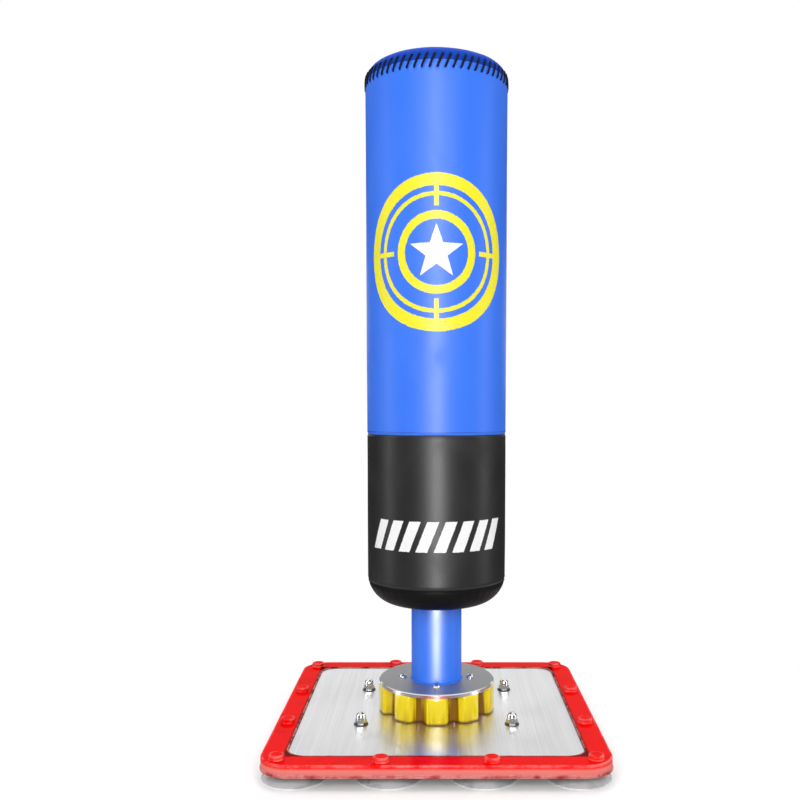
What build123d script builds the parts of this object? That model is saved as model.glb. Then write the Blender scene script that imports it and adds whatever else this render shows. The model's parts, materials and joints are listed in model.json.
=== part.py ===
"""Free-standing boxing bag on a suction-cup base.

A square base stands on sixteen suction cups. A lobed rubber damper is bolted to its steel deck, and
carries a flanged post, so that the post can sway in any direction and springs back. A padded bag hangs
over the post like a cap: its core tube turns on two guide bushes, and its end cap rests on the post's plug.

Millimetres. +Z is up, the origin is on the floor under the post's axis, and the bag's front faces -Y.
"""

import os
from math import atan2, cos, degrees, pi, radians, sin, sqrt

from build123d import *

os.makedirs("parts", exist_ok=True)

# ---------------------------------------------------------------- driving dimensions

# Base
base_side = 620.0  # outer side of the square base
base_corner = 56.0  # outer corner radius in plan
floor_gap = 20.0  # floor to the underside of the tray
base_height = 42.0  # floor to the top of the rim
rim_width = 46.0  # rim seen from above, from outer edge to deck
rim_wall = 4.0
rim_edge_round = 2.0
rim_lip_height = 4.0  # bead along the foot of the skirt
rim_lip_depth = 1.5
ledge_width = 12.0  # the rim's ledge that carries the deck's edge
ledge_thickness = 3.0
deck_corner = 34.0
deck_thickness = 3.0
deck_drop = 1.5  # the deck lies this far below the top of the rim
deck_gap = 0.8  # gap all round the deck
deck_bevel_width = 5.0  # shallow bevel along the deck's edge
deck_bevel_drop = 0.8
stiffener_size = (360.0, 280.0)
stiffener_thickness = 4.0
stiffener_corner = 20.0
tray_floor = 3.0
tray_wall = 3.0
tray_gap = 0.5  # between the tray's wall and the rim's skirt
rib_thickness = 3.0

# Suction cups, in a square grid
cups_per_side = 4
cup_diameter = 116.0
cup_edge_inset = 2.0  # from the base's outer edge to the nearest point of a cup
cup_lip = 7.0  # width of the flat lip on the floor
cup_edge_thickness = 2.0
cup_hollow = 9.0  # height of the hollow above the floor
cup_shoulder_radius = 17.0
cup_neck_radius = 8.8
cup_head_radius = 12.5
cup_head_height = 6.0
cup_bell_crown = 0.55  # how full the bell is halfway out, from 0, a cone's foot, to 1
cup_hollow_crown = 0.62

# Rim caps over the screws that hold the rim to the tray
caps_per_side = 4
cap_diameter = 28.0
cap_height = 8.0
cap_wall = 2.5
cap_round = 2.5
corner_cap_inset = 33.0  # from both outer edges to the centre of a corner cap
rim_screw_radius = 2.2
rim_screw_head_radius = 4.8
rim_screw_head_height = 3.0
rim_screw_length = 18.0
screw_post_radius = 5.5

# Bolts that clamp the deck and the stiffener to the tray
deck_bolt_spacing = (290.0, 210.0)
deck_bolt_radius = 6.0
deck_bolt_head_flats = 18.0
deck_bolt_head_height = 7.5
deck_bolt_boss_radius = 15.5
washer_radius = 12.0
washer_thickness = 2.0
cap_nut_flats = 19.0
cap_nut_hex_height = 9.0
cap_nut_height = 22.0
cap_nut_step = 0.3  # the dome is this much narrower than the flats

# Damper: a lobed ring of clear rubber with moulded-in threaded inserts
lobe_count = 10
damper_height = 52.0
damper_lobe_radius = 117.0
damper_valley_radius = 99.0
damper_lobe_width = 42.0
damper_bore_radius = 42.0
damper_corner_round = 8.0
damper_edge_round = 2.0
damper_bolts = 4
damper_bolt_radius = 5.0
damper_bolt_head_flats = 16.0
damper_bolt_head_height = 6.4
insert_radius = 8.0
insert_length = 16.5
insert_spare = 2.0  # thread left past the end of a bolt

# Post
post_diameter = 102.0
post_wall = 2.5
post_top_depth = 125.0  # from the bag's shoulder down to the top of the post
flange_radius = 116.0
flange_thickness = 7.0
flange_edge = 1.5
flange_screw_head_radius = 8.0
flange_screw_head_height = 7.0
flange_screw_head_edge = 2.1
flange_screw_socket_radius = 3.4
flange_screw_socket_depth = 4.2
flange_screw_gap = 10.0  # between a screw's head and the post
plug_head = 6.0
plug_depth = 30.0
plug_wall = 3.0

# Bag
bag_top_radius = 144.5  # outside of the cover at the shoulder
bag_bottom_radius = 139.0  # outside of the cover where the bottom starts to curve in
bag_bottom = 255.0  # floor to the underside of the bag
bag_side_length = 1050.0  # from there to the shoulder, where the crown starts to curve in
bag_crown = 56.0  # height of the domed crown
bag_shoulder_round = 32.0  # radius of the bend from the side to the crown
bottom_seam_turn = 12.0  # degrees of the bend at the bottom that lie above the bottom seam
lower_cover_height = 295.0  # from the bottom seam to the waist seam, where the colour changes
cover_thickness = 3.0
hem_gap = 5.0  # between the post and the hem of the bottom panel
core_wall = 3.5
core_top_margin = 16.0  # the core tube stands this far above the post
end_cap_thickness = 6.0
bush_length = 40.0
bush_thickness = 3.0
bush_end_margin = 10.0
bush_top_margin = 20.0
board_thickness = 9.0
board_width = 23.0  # the flat part of the bottom, outside the core
foam_split_radius = 100.0  # between the inner roll and the outer sleeve
crown_pad_depth = 14.0  # the crown pad starts this far below the shoulder
lace_count = 60
lace_radius = 2.2
lace_below = 17.0  # a stitch's lower end, below the shoulder
lace_above = 17.0  # and its upper end, above it
lace_bend = 0.4  # the share of that where the stitch's arc is fullest
lace_slant = 4.4  # degrees round the bag from a stitch's lower to its upper end
piping_radius = 1.8
seam_strip_width = 22.0
seam_strip_thickness = 1.2
seam_strip_gap = 3.8  # from the strip's ends to the bend at the bottom and to the stitches

# Clearances
screw_clearance = 0.05  # between a thread and its hole
slip_clearance = 0.3  # between soft or separate curved pieces that lie together
weld_clearance = 0.1  # between the post and the flange it is welded into
running_clearance = 0.4  # between the post and the guide bushes
bolt_clearance = 0.5  # round a bolt in a drilled hole
blind_gap = 1.0  # past the end of a bolt or screw in a blind hole
thrust_gap = 0.3  # between the bag's end cap and the post's plug

# ---------------------------------------------------------------- places worked out from those

base_half = base_side / 2
skirt_inner = base_side - 2 * rim_wall
flange_underside = base_height - rim_wall
opening_side = base_side - 2 * rim_width
ledge_opening = opening_side - 2 * ledge_width
deck_top = base_height - deck_drop
deck_bottom = deck_top - deck_thickness
ledge_bottom = deck_bottom - ledge_thickness
stiffener_bottom = deck_bottom - stiffener_thickness
tray_side = skirt_inner - 2 * tray_gap
tray_corner = base_corner - rim_wall - tray_gap
tray_top = floor_gap + tray_floor

cup_radius = cup_diameter / 2
cup_pitch = (base_side - cup_diameter - 2 * cup_edge_inset) / (cups_per_side - 1)
cup_reach = (cups_per_side - 1) / 2

cap_line = base_half - rim_width / 2
corner_cap = base_half - corner_cap_inset
cap_pitch = 2 * cap_line / (caps_per_side - 1)

damper_bottom = deck_top
damper_top = damper_bottom + damper_height
damper_middle = (damper_bottom + damper_top) / 2
flange_top = damper_top + flange_thickness

post_radius = post_diameter / 2
post_bore = post_radius - post_wall
bag_shoulder = bag_bottom + bag_side_length
post_top = bag_shoulder - post_top_depth
damper_bolt_circle = post_radius + flange_screw_gap + flange_screw_head_radius
plug_top = post_top + plug_head

bush_inner = post_radius + running_clearance
core_inner = bush_inner + bush_thickness + weld_clearance
core_outer = core_inner + core_wall
hem_radius = post_radius + hem_gap
bottom_flat = core_outer + board_width  # radius of the flat part of the bottom
bag_bottom_round = bag_bottom_radius - bottom_flat
core_bottom = bag_bottom + cover_thickness + slip_clearance
core_top = post_top + core_top_margin
end_cap_top = core_top + end_cap_thickness
bottom_curve = bag_bottom + bag_bottom_round  # height where the straight side starts
bottom_seam = bottom_curve - bag_bottom_round * sin(radians(bottom_seam_turn))
waist_seam = bottom_seam + lower_cover_height
shoulder_centre = bag_top_radius - bag_shoulder_round  # radius at which the shoulder's bend is centred
crown_drop = bag_crown - bag_shoulder_round
crown_round = (shoulder_centre**2 + bag_crown**2 - bag_shoulder_round**2) / (2 * crown_drop)
shoulder_turn = degrees(atan2(crown_round - bag_crown, shoulder_centre))
crown_pad_bottom = bag_shoulder - crown_pad_depth


def side_radius(z):
    """Outside radius of the cover at height z on its straight, slightly tapered side."""
    share = (z - bottom_curve) / (bag_shoulder - bottom_curve)
    return bag_bottom_radius + share * (bag_top_radius - bag_bottom_radius)


def crown_profile(depth):
    """Draws the crown's outline, depth inside the cover's outside: the shoulder's bend, then the top."""
    CenterArc((shoulder_centre, bag_shoulder), bag_shoulder_round - depth, 0, shoulder_turn)
    top_centre = bag_shoulder + bag_crown - crown_round
    CenterArc((0, top_centre), crown_round - depth, shoulder_turn, 90 - shoulder_turn)


def bottom_point(depth, turn):
    """A point on the bend at the bottom, depth inside the cover's outside, turn degrees below the side."""
    bend = bag_bottom_round - depth
    return bottom_flat + bend * cos(radians(turn)), bottom_curve - bend * sin(radians(turn))


def bottom_bend(depth, low_turn, high_turn):
    """Draws the bend at the bottom between two turns below the side, depth inside the cover's outside."""
    CenterArc((bottom_flat, bottom_curve), bag_bottom_round - depth, -low_turn, low_turn - high_turn)


def write(builder, name):
    """Labels a finished sub-part and writes its STEP file."""
    builder.part.label = name
    export_step(builder.part, f"parts/{name}.step")


def profile_plane(x=0.0, y=0.0):
    """An upright plane through a vertical axis at (x, y), for profiles that are revolved round it."""
    return Plane(origin=(x, y, 0), x_dir=(1, 0, 0), z_dir=(0, -1, 0))


def axis_at(x=0.0, y=0.0):
    """The vertical axis through (x, y)."""
    return Axis((x, y, 0), (0, 0, 1))


def ring(low, high, inner, outer):
    """A plain ring round the bag's axis, between two heights."""
    with BuildPart() as made:
        with BuildSketch(Plane.XY.offset(low)):
            Circle(outer)
            Circle(inner, mode=Mode.SUBTRACT)
        extrude(amount=high - low)
    return made


def cap_places():
    """Centres of the rim caps: four along each side, the corner ones drawn in from the rounded corners."""
    ends = (caps_per_side - 1) / 2
    places = []
    for i in range(caps_per_side):
        for j in range(caps_per_side):
            on_x = i in (0, caps_per_side - 1)
            on_y = j in (0, caps_per_side - 1)
            if on_x and on_y:
                places.append(((i / ends - 1) * corner_cap, (j / ends - 1) * corner_cap))
            elif on_x:
                places.append(((i / ends - 1) * cap_line, (j - ends) * cap_pitch))
            elif on_y:
                places.append(((i - ends) * cap_pitch, (j / ends - 1) * cap_line))
    return places


def cup_places():
    """Centres of the suction cups."""
    steps = [(i - cup_reach) * cup_pitch for i in range(cups_per_side)]
    return [(x, y) for y in steps for x in steps]


def deck_bolt_places():
    """Centres of the deck's bolts."""
    half_x, half_y = deck_bolt_spacing[0] / 2, deck_bolt_spacing[1] / 2
    return [(x, y) for x in (-half_x, half_x) for y in (-half_y, half_y)]


# ---------------------------------------------------------------- base

# Moulded tray: floor, outer wall, ribs between the cups, screw posts and bolt bosses
with BuildPart() as base_tray:
    with BuildSketch(Plane.XY.offset(floor_gap)):
        RectangleRounded(tray_side, tray_side, tray_corner)
    extrude(amount=tray_floor)
    with BuildSketch(Plane.XY.offset(tray_top)):
        RectangleRounded(tray_side, tray_side, tray_corner)
        inside = tray_side - 2 * tray_wall
        RectangleRounded(inside, inside, tray_corner - tray_wall, mode=Mode.SUBTRACT)
    extrude(amount=flange_underside - tray_top)
    rib_lines = [(i - cup_reach + 0.5) * cup_pitch for i in range(cups_per_side - 1)]
    with BuildSketch(Plane.XY.offset(tray_top)):
        for line in rib_lines:
            with Locations((line, 0)):
                Rectangle(rib_thickness, tray_side - 2 * tray_wall)
            with Locations((0, line)):
                Rectangle(tray_side - 2 * tray_wall, rib_thickness)
    extrude(amount=min(stiffener_bottom, ledge_bottom) - tray_top)
    with BuildSketch(Plane.XY.offset(tray_top)):
        with Locations(*cap_places()):
            Circle(screw_post_radius)
    extrude(amount=flange_underside - tray_top)
    with BuildSketch(Plane.XY.offset(tray_top)):
        with Locations(*deck_bolt_places()):
            Circle(deck_bolt_boss_radius)
    extrude(amount=stiffener_bottom - tray_top)
    with Locations(*[(x, y, tray_top) for x, y in cup_places()]):
        Hole(cup_neck_radius + bolt_clearance, depth=tray_floor)
    with Locations(*[(x, y, flange_underside) for x, y in cap_places()]):
        Hole(rim_screw_radius + screw_clearance, depth=rim_screw_length - rim_wall + blind_gap)
    with Locations(*[(x, y, stiffener_bottom) for x, y in deck_bolt_places()]):
        Hole(deck_bolt_radius + bolt_clearance, depth=stiffener_bottom - floor_gap)
    with BuildSketch(Plane.XY.offset(floor_gap)):
        with Locations(*deck_bolt_places()):
            pocket_radius = deck_bolt_head_flats / sqrt(3) + bolt_clearance
            RegularPolygon(pocket_radius, 6)
    extrude(amount=deck_bolt_head_height + bolt_clearance, mode=Mode.SUBTRACT)
write(base_tray, "base_tray")

# Rim: skirt, top band and the sunk ledge that carries the deck
with BuildPart() as rim_frame:
    with BuildSketch(Plane.XY.offset(floor_gap)):
        RectangleRounded(base_side, base_side, base_corner)
    extrude(amount=rim_lip_height)
    fillet(rim_frame.faces().filter_by(Axis.Z).edges(), rim_lip_height / 3)
    with BuildSketch(Plane.XY.offset(floor_gap)):
        upper_side = base_side - 2 * rim_lip_depth
        RectangleRounded(upper_side, upper_side, base_corner - rim_lip_depth)
    extrude(amount=base_height - floor_gap)
    fillet(rim_frame.faces().sort_by(Axis.Z)[-1].edges(), rim_edge_round)
    with BuildSketch(Plane.XY.offset(floor_gap)):
        RectangleRounded(skirt_inner, skirt_inner, base_corner - rim_wall)
        step_outer = opening_side + 2 * rim_wall
        RectangleRounded(step_outer, step_outer, deck_corner + rim_wall, mode=Mode.SUBTRACT)
    extrude(amount=flange_underside - floor_gap, mode=Mode.SUBTRACT)
    with BuildSketch(Plane.XY.offset(floor_gap)):
        RectangleRounded(step_outer, step_outer, deck_corner + rim_wall)
    extrude(amount=ledge_bottom - floor_gap, mode=Mode.SUBTRACT)
    with BuildSketch(Plane.XY.offset(deck_bottom)):
        RectangleRounded(opening_side, opening_side, deck_corner)
    extrude(amount=base_height - deck_bottom, mode=Mode.SUBTRACT)
    with BuildSketch(Plane.XY.offset(ledge_bottom)):
        RectangleRounded(ledge_opening, ledge_opening, max(deck_corner - ledge_width, 1.0))
    extrude(amount=ledge_thickness, mode=Mode.SUBTRACT)
    with Locations(*[(x, y, base_height) for x, y in cap_places()]):
        Hole(rim_screw_radius + screw_clearance, depth=rim_wall)
write(rim_frame, "rim_frame")

# Steel deck, with holes for its own bolts and for the damper's
damper_bolt_turn = 360 / damper_bolts / 2
with BuildPart() as deck_plate:
    with BuildSketch(Plane.XY.offset(deck_bottom)):
        deck_side = opening_side - 2 * deck_gap
        RectangleRounded(deck_side, deck_side, deck_corner - deck_gap)
        with Locations(*deck_bolt_places()):
            Circle(deck_bolt_radius + bolt_clearance, mode=Mode.SUBTRACT)
        with PolarLocations(damper_bolt_circle, damper_bolts, damper_bolt_turn):
            Circle(damper_bolt_radius + bolt_clearance, mode=Mode.SUBTRACT)
    extrude(amount=deck_thickness)
    deck_face = deck_plate.faces().sort_by(Axis.Z)[-1]
    chamfer(deck_face.outer_wire().edges(), deck_bevel_width, deck_bevel_drop, reference=deck_face)
write(deck_plate, "deck_plate")

# Stiffener under the deck, where the damper is bolted
with BuildPart() as stiffener_plate:
    with BuildSketch(Plane.XY.offset(stiffener_bottom)):
        RectangleRounded(*stiffener_size, stiffener_corner)
        with Locations(*deck_bolt_places()):
            Circle(deck_bolt_radius + bolt_clearance, mode=Mode.SUBTRACT)
        with PolarLocations(damper_bolt_circle, damper_bolts, damper_bolt_turn):
            Circle(damper_bolt_radius + bolt_clearance, mode=Mode.SUBTRACT)
    extrude(amount=stiffener_thickness)
write(stiffener_plate, "stiffener_plate")

# Screws that hold the rim to the tray, and the hollow caps over their heads
with BuildPart() as rim_screws:
    with BuildSketch(Plane.XY.offset(base_height - rim_screw_length)):
        with Locations(*cap_places()):
            Circle(rim_screw_radius)
    extrude(amount=rim_screw_length)
    with BuildSketch(Plane.XY.offset(base_height)):
        with Locations(*cap_places()):
            Circle(rim_screw_head_radius)
    extrude(amount=rim_screw_head_height)
write(rim_screws, "rim_screws")

for number, (x, y) in enumerate(cap_places(), 1):
    with BuildPart() as rim_cap:
        with BuildSketch(profile_plane(x, y)):
            with BuildLine():
                outer, top = cap_diameter / 2, base_height + cap_height
                cavity = outer - cap_wall
                roof = top - cap_wall
                Polyline((cavity, base_height), (outer, base_height), (outer, top - cap_round))
                RadiusArc((outer, top - cap_round), (outer - cap_round, top), -cap_round)
                Polyline((outer - cap_round, top), (0, top), (0, roof), (cavity, roof), (cavity, base_height))
            make_face()
        revolve(axis=axis_at(x, y))
    write(rim_cap, f"rim_cap_{number:02d}")

# Suction cups: a bell with a flat lip, a neck through the tray and a head above it
for number, (x, y) in enumerate(cup_places(), 1):
    with BuildPart() as suction_cup:
        with BuildSketch(profile_plane(x, y)):
            with BuildLine():
                lip_inner = cup_radius - cup_lip
                shoulder_top = floor_gap - slip_clearance
                bell_top = (cup_shoulder_radius, shoulder_top - cup_edge_thickness)
                bell_middle = (
                    (cup_radius + cup_shoulder_radius) / 2,
                    cup_edge_thickness + (bell_top[1] - cup_edge_thickness) * cup_bell_crown,
                )
                head_bottom = tray_top + slip_clearance
                head_top = head_bottom + cup_head_height
                hollow_middle = (lip_inner * cup_hollow_crown, cup_hollow * cup_hollow_crown)
                ThreePointArc((0, cup_hollow), hollow_middle, (lip_inner, 0))
                Polyline((lip_inner, 0), (cup_radius, 0), (cup_radius, cup_edge_thickness))
                ThreePointArc((cup_radius, cup_edge_thickness), bell_middle, bell_top)
                Polyline(
                    bell_top,
                    (cup_shoulder_radius, shoulder_top),
                    (cup_neck_radius, shoulder_top),
                    (cup_neck_radius, head_bottom),
                    (cup_head_radius, head_bottom),
                    (cup_neck_radius, head_top),
                    (0, head_top),
                    (0, cup_hollow),
                )
            make_face()
        revolve(axis=axis_at(x, y))
    write(suction_cup, f"suction_cup_{number:02d}")

# Deck bolts from below, with washers and domed cap nuts on the deck
bolt_head_bottom = floor_gap + bolt_clearance
bolt_head_top = floor_gap + bolt_clearance + deck_bolt_head_height
nut_seat = deck_top + washer_thickness
bolt_end = nut_seat + cap_nut_height - cap_nut_flats / 2
with BuildPart() as deck_bolts:
    with BuildSketch(Plane.XY.offset(bolt_head_bottom)):
        with Locations(*deck_bolt_places()):
            RegularPolygon(deck_bolt_head_flats / sqrt(3), 6)
    extrude(amount=deck_bolt_head_height)
    with BuildSketch(Plane.XY.offset(bolt_head_top)):
        with Locations(*deck_bolt_places()):
            Circle(deck_bolt_radius)
    extrude(amount=bolt_end - bolt_head_top)
write(deck_bolts, "deck_bolts")

with BuildPart() as deck_washers:
    with BuildSketch(Plane.XY.offset(deck_top)):
        with Locations(*deck_bolt_places()):
            Circle(washer_radius)
            Circle(deck_bolt_radius + bolt_clearance, mode=Mode.SUBTRACT)
    extrude(amount=washer_thickness)
write(deck_washers, "deck_washers")

with BuildPart() as deck_cap_nuts:
    with BuildSketch(Plane.XY.offset(nut_seat)):
        with Locations(*deck_bolt_places()):
            RegularPolygon(cap_nut_flats / sqrt(3), 6)
    extrude(amount=cap_nut_hex_height)
    dome_radius = cap_nut_flats / 2 - cap_nut_step
    dome_base = nut_seat + cap_nut_hex_height
    dome_side = nut_seat + cap_nut_height - dome_radius
    for x, y in deck_bolt_places():
        with BuildSketch(profile_plane(x, y)):
            with BuildLine():
                Polyline((0, dome_side + dome_radius), (0, dome_base), (dome_radius, dome_base))
                Line((dome_radius, dome_base), (dome_radius, dome_side))
                RadiusArc((dome_radius, dome_side), (0, dome_side + dome_radius), -dome_radius)
            make_face()
        revolve(axis=axis_at(x, y))
    with BuildSketch(Plane.XY.offset(nut_seat)):
        with Locations(*deck_bolt_places()):
            Circle(deck_bolt_radius + screw_clearance)
    extrude(amount=bolt_end + blind_gap - nut_seat, mode=Mode.SUBTRACT)
write(deck_cap_nuts, "deck_cap_nuts")

# Bolts from under the stiffener into the damper, and the inserts that they screw into
with BuildPart() as damper_lower_bolts:
    with BuildSketch(Plane.XY.offset(stiffener_bottom - damper_bolt_head_height)):
        with PolarLocations(damper_bolt_circle, damper_bolts, damper_bolt_turn):
            RegularPolygon(damper_bolt_head_flats / sqrt(3), 6)
    extrude(amount=damper_bolt_head_height)
    with BuildSketch(Plane.XY.offset(stiffener_bottom)):
        with PolarLocations(damper_bolt_circle, damper_bolts, damper_bolt_turn):
            Circle(damper_bolt_radius)
    extrude(amount=damper_bottom + insert_length - insert_spare - stiffener_bottom)
write(damper_lower_bolts, "damper_lower_bolts")

with BuildPart() as damper_lower_inserts:
    with BuildSketch(Plane.XY.offset(damper_bottom)):
        with PolarLocations(damper_bolt_circle, damper_bolts, damper_bolt_turn):
            Circle(insert_radius)
            Circle(damper_bolt_radius + screw_clearance, mode=Mode.SUBTRACT)
    extrude(amount=insert_length)
write(damper_lower_inserts, "damper_lower_inserts")

# ---------------------------------------------------------------- damper

# Lobed rubber ring, with blind pockets for the inserts in its two end faces
with BuildPart() as damper_block:
    with BuildSketch(Plane.XY.offset(damper_bottom)) as damper_outline:
        Circle(damper_valley_radius)
        lobe_length = damper_lobe_radius - damper_bore_radius
        lobe_place = (damper_lobe_radius + damper_bore_radius) / 2
        with PolarLocations(lobe_place, lobe_count, 90):
            Rectangle(lobe_length, damper_lobe_width)
        fillet(damper_outline.vertices(), damper_corner_round)
        Circle(damper_bore_radius, mode=Mode.SUBTRACT)
    extrude(amount=damper_height)
    end_faces = damper_block.faces().filter_by(Axis.Z)
    lobed_edges = [edge for face in end_faces for edge in face.outer_wire().edges()]
    fillet(lobed_edges, damper_edge_round)
    pocket = insert_radius + slip_clearance
    with BuildSketch(Plane.XY.offset(damper_bottom)):
        with PolarLocations(damper_bolt_circle, damper_bolts, damper_bolt_turn):
            Circle(pocket)
    extrude(amount=insert_length + slip_clearance, mode=Mode.SUBTRACT)
    with BuildSketch(Plane.XY.offset(damper_top)):
        with PolarLocations(damper_bolt_circle, damper_bolts):
            Circle(pocket)
    extrude(amount=-(insert_length + slip_clearance), mode=Mode.SUBTRACT)
write(damper_block, "damper_block")

# ---------------------------------------------------------------- post

with BuildPart() as damper_upper_inserts:
    with BuildSketch(Plane.XY.offset(damper_top - insert_length)):
        with PolarLocations(damper_bolt_circle, damper_bolts):
            Circle(insert_radius)
            Circle(damper_bolt_radius + screw_clearance, mode=Mode.SUBTRACT)
    extrude(amount=insert_length)
write(damper_upper_inserts, "damper_upper_inserts")

with BuildPart() as post_flange:
    with BuildSketch(Plane.XY.offset(damper_top)):
        Circle(flange_radius)
        Circle(post_radius + weld_clearance, mode=Mode.SUBTRACT)
        with PolarLocations(damper_bolt_circle, damper_bolts):
            Circle(damper_bolt_radius + screw_clearance, mode=Mode.SUBTRACT)
    extrude(amount=flange_thickness)
    chamfer(post_flange.faces().sort_by(Axis.Z)[-1].outer_wire().edges(), flange_edge)
write(post_flange, "post_flange")

# Domed screws through the flange into the damper's upper inserts
with BuildPart() as flange_screws:
    screw_end = damper_top - insert_length + insert_spare
    head_top = flange_top + flange_screw_head_height
    dome_rise = flange_screw_head_height - flange_screw_head_edge
    dome_round = (flange_screw_head_radius**2 + dome_rise**2) / (2 * dome_rise)
    for turn in range(damper_bolts):
        angle = radians(turn * 360 / damper_bolts)
        x, y = damper_bolt_circle * cos(angle), damper_bolt_circle * sin(angle)
        with BuildSketch(profile_plane(x, y)):
            with BuildLine():
                head_edge = (flange_screw_head_radius, flange_top + flange_screw_head_edge)
                Polyline((0, head_top), (0, screw_end), (damper_bolt_radius, screw_end))
                Line((damper_bolt_radius, screw_end), (damper_bolt_radius, flange_top))
                Polyline((damper_bolt_radius, flange_top), (flange_screw_head_radius, flange_top), head_edge)
                RadiusArc(head_edge, (0, head_top), -dome_round)
            make_face()
        revolve(axis=axis_at(x, y))
    with BuildSketch(Plane.XY.offset(head_top)):
        with PolarLocations(damper_bolt_circle, damper_bolts):
            RegularPolygon(flange_screw_socket_radius, 6)
    extrude(amount=-flange_screw_socket_depth, mode=Mode.SUBTRACT)
write(flange_screws, "flange_screws")

post_tube = ring(damper_top, post_top, post_bore, post_radius)
write(post_tube, "post_tube")

# Plug in the top of the post, which carries the bag's end cap
with BuildPart() as post_top_plug:
    with BuildSketch(Plane.XY.offset(post_top)):
        Circle(post_radius)
    extrude(amount=plug_head)
    chamfer(post_top_plug.faces().sort_by(Axis.Z)[-1].edges(), plug_head / 4)
    with BuildSketch(Plane.XY.offset(post_top - plug_depth)):
        Circle(post_bore - weld_clearance)
        Circle(post_bore - weld_clearance - plug_wall, mode=Mode.SUBTRACT)
    extrude(amount=plug_depth)
write(post_top_plug, "post_top_plug")

# ---------------------------------------------------------------- bag: core and padding

core_tube = ring(core_bottom, core_top, core_inner, core_outer)
write(core_tube, "core_tube")

bush_outer = bush_inner + bush_thickness
bush_low = core_bottom + bush_end_margin
bush_high = post_top - bush_top_margin
guide_bush_lower = ring(bush_low, bush_low + bush_length, bush_inner, bush_outer)
write(guide_bush_lower, "guide_bush_lower")
guide_bush_upper = ring(bush_high - bush_length, bush_high, bush_inner, bush_outer)
write(guide_bush_upper, "guide_bush_upper")

with BuildPart() as core_end_cap:
    with BuildSketch(Plane.XY.offset(core_top)):
        Circle(core_outer)
    extrude(amount=end_cap_thickness)
    with BuildSketch(Plane.XY.offset(plug_top + thrust_gap)):
        Circle(core_inner - weld_clearance)
    extrude(amount=core_top - plug_top - thrust_gap)
write(core_end_cap, "core_end_cap")

foam_core_roll = ring(
    core_bottom + board_thickness, end_cap_top, core_outer + slip_clearance, foam_split_radius
)
write(foam_core_roll, "foam_core_roll")

# Ring of board at the foot of the core, which the padding stands on
bottom_board = ring(core_bottom, core_bottom + board_thickness, core_outer + weld_clearance, bottom_flat)
write(bottom_board, "bottom_board")

# Outer sleeve of foam: its side follows the tapered cover and its foot the curved bottom
with BuildPart() as foam_outer_sleeve:
    with BuildSketch(profile_plane()):
        with BuildLine():
            skin = cover_thickness + slip_clearance
            sleeve_inner = foam_split_radius + slip_clearance
            sleeve_bottom = core_bottom + board_thickness + slip_clearance
            sleeve_top = crown_pad_bottom - slip_clearance
            drop = bottom_curve - sleeve_bottom
            bend = bag_bottom_round - skin
            foot_turn = degrees(atan2(drop, sqrt(bend**2 - drop**2)))
            side_low = bottom_point(skin, 0)
            Polyline((sleeve_inner, sleeve_top), (sleeve_inner, sleeve_bottom), bottom_point(skin, foot_turn))
            bottom_bend(skin, foot_turn, 0)
            Polyline(side_low, (side_radius(sleeve_top) - skin, sleeve_top), (sleeve_inner, sleeve_top))
        make_face()
    revolve(axis=Axis.Z)
write(foam_outer_sleeve, "foam_outer_sleeve")

with BuildPart() as foam_top_plug:
    with BuildSketch(Plane.XY.offset(end_cap_top + slip_clearance)):
        Circle(foam_split_radius)
    extrude(amount=crown_pad_bottom - end_cap_top - 2 * slip_clearance)
write(foam_top_plug, "foam_top_plug")

with BuildPart() as foam_crown:
    with BuildSketch(profile_plane()):
        with BuildLine():
            skin = cover_thickness + slip_clearance
            low_radius = side_radius(crown_pad_bottom) - skin
            pad_top = bag_shoulder + bag_crown - skin
            Polyline((0, pad_top), (0, crown_pad_bottom), (low_radius, crown_pad_bottom))
            Line((low_radius, crown_pad_bottom), (bag_top_radius - skin, bag_shoulder))
            crown_profile(skin)
        make_face()
    revolve(axis=Axis.Z)
write(foam_crown, "foam_crown")

# ---------------------------------------------------------------- bag: cover


# Upper side panel, a tapered tube
with BuildPart() as cover_upper:
    with BuildSketch(profile_plane()):
        with BuildLine():
            Polyline(
                (side_radius(waist_seam), waist_seam),
                (bag_top_radius, bag_shoulder),
                (bag_top_radius - cover_thickness, bag_shoulder),
                (side_radius(waist_seam) - cover_thickness, waist_seam),
                close=True,
            )
        make_face()
    revolve(axis=Axis.Z)
write(cover_upper, "cover_upper")

# Lower side panel, which starts to turn in under the bag
with BuildPart() as cover_lower:
    with BuildSketch(profile_plane()):
        with BuildLine():
            bottom_bend(0, bottom_seam_turn, 0)
            Polyline(
                bottom_point(0, 0),
                (side_radius(waist_seam), waist_seam),
                (side_radius(waist_seam) - cover_thickness, waist_seam),
                bottom_point(cover_thickness, 0),
            )
            bottom_bend(cover_thickness, bottom_seam_turn, 0)
            Line(bottom_point(cover_thickness, bottom_seam_turn), bottom_point(0, bottom_seam_turn))
        make_face()
    revolve(axis=Axis.Z)
write(cover_lower, "cover_lower")

with BuildPart() as cover_top_panel:
    with BuildSketch(profile_plane()):
        with BuildLine():
            crown_profile(0)
            Line((0, bag_shoulder + bag_crown), (0, bag_shoulder + bag_crown - cover_thickness))
            crown_profile(cover_thickness)
            Line((bag_top_radius - cover_thickness, bag_shoulder), (bag_top_radius, bag_shoulder))
        make_face()
    revolve(axis=Axis.Z)
write(cover_top_panel, "cover_top_panel")

with BuildPart() as cover_bottom_panel:
    with BuildSketch(profile_plane()):
        with BuildLine():
            bottom_bend(0, 90, bottom_seam_turn)
            Line(bottom_point(0, bottom_seam_turn), bottom_point(cover_thickness, bottom_seam_turn))
            bottom_bend(cover_thickness, 90, bottom_seam_turn)
            Polyline(
                bottom_point(cover_thickness, 90),
                (hem_radius, bag_bottom + cover_thickness),
                (hem_radius, bag_bottom),
                bottom_point(0, 90),
            )
        make_face()
    revolve(axis=Axis.Z)
write(cover_bottom_panel, "cover_bottom_panel")

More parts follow.
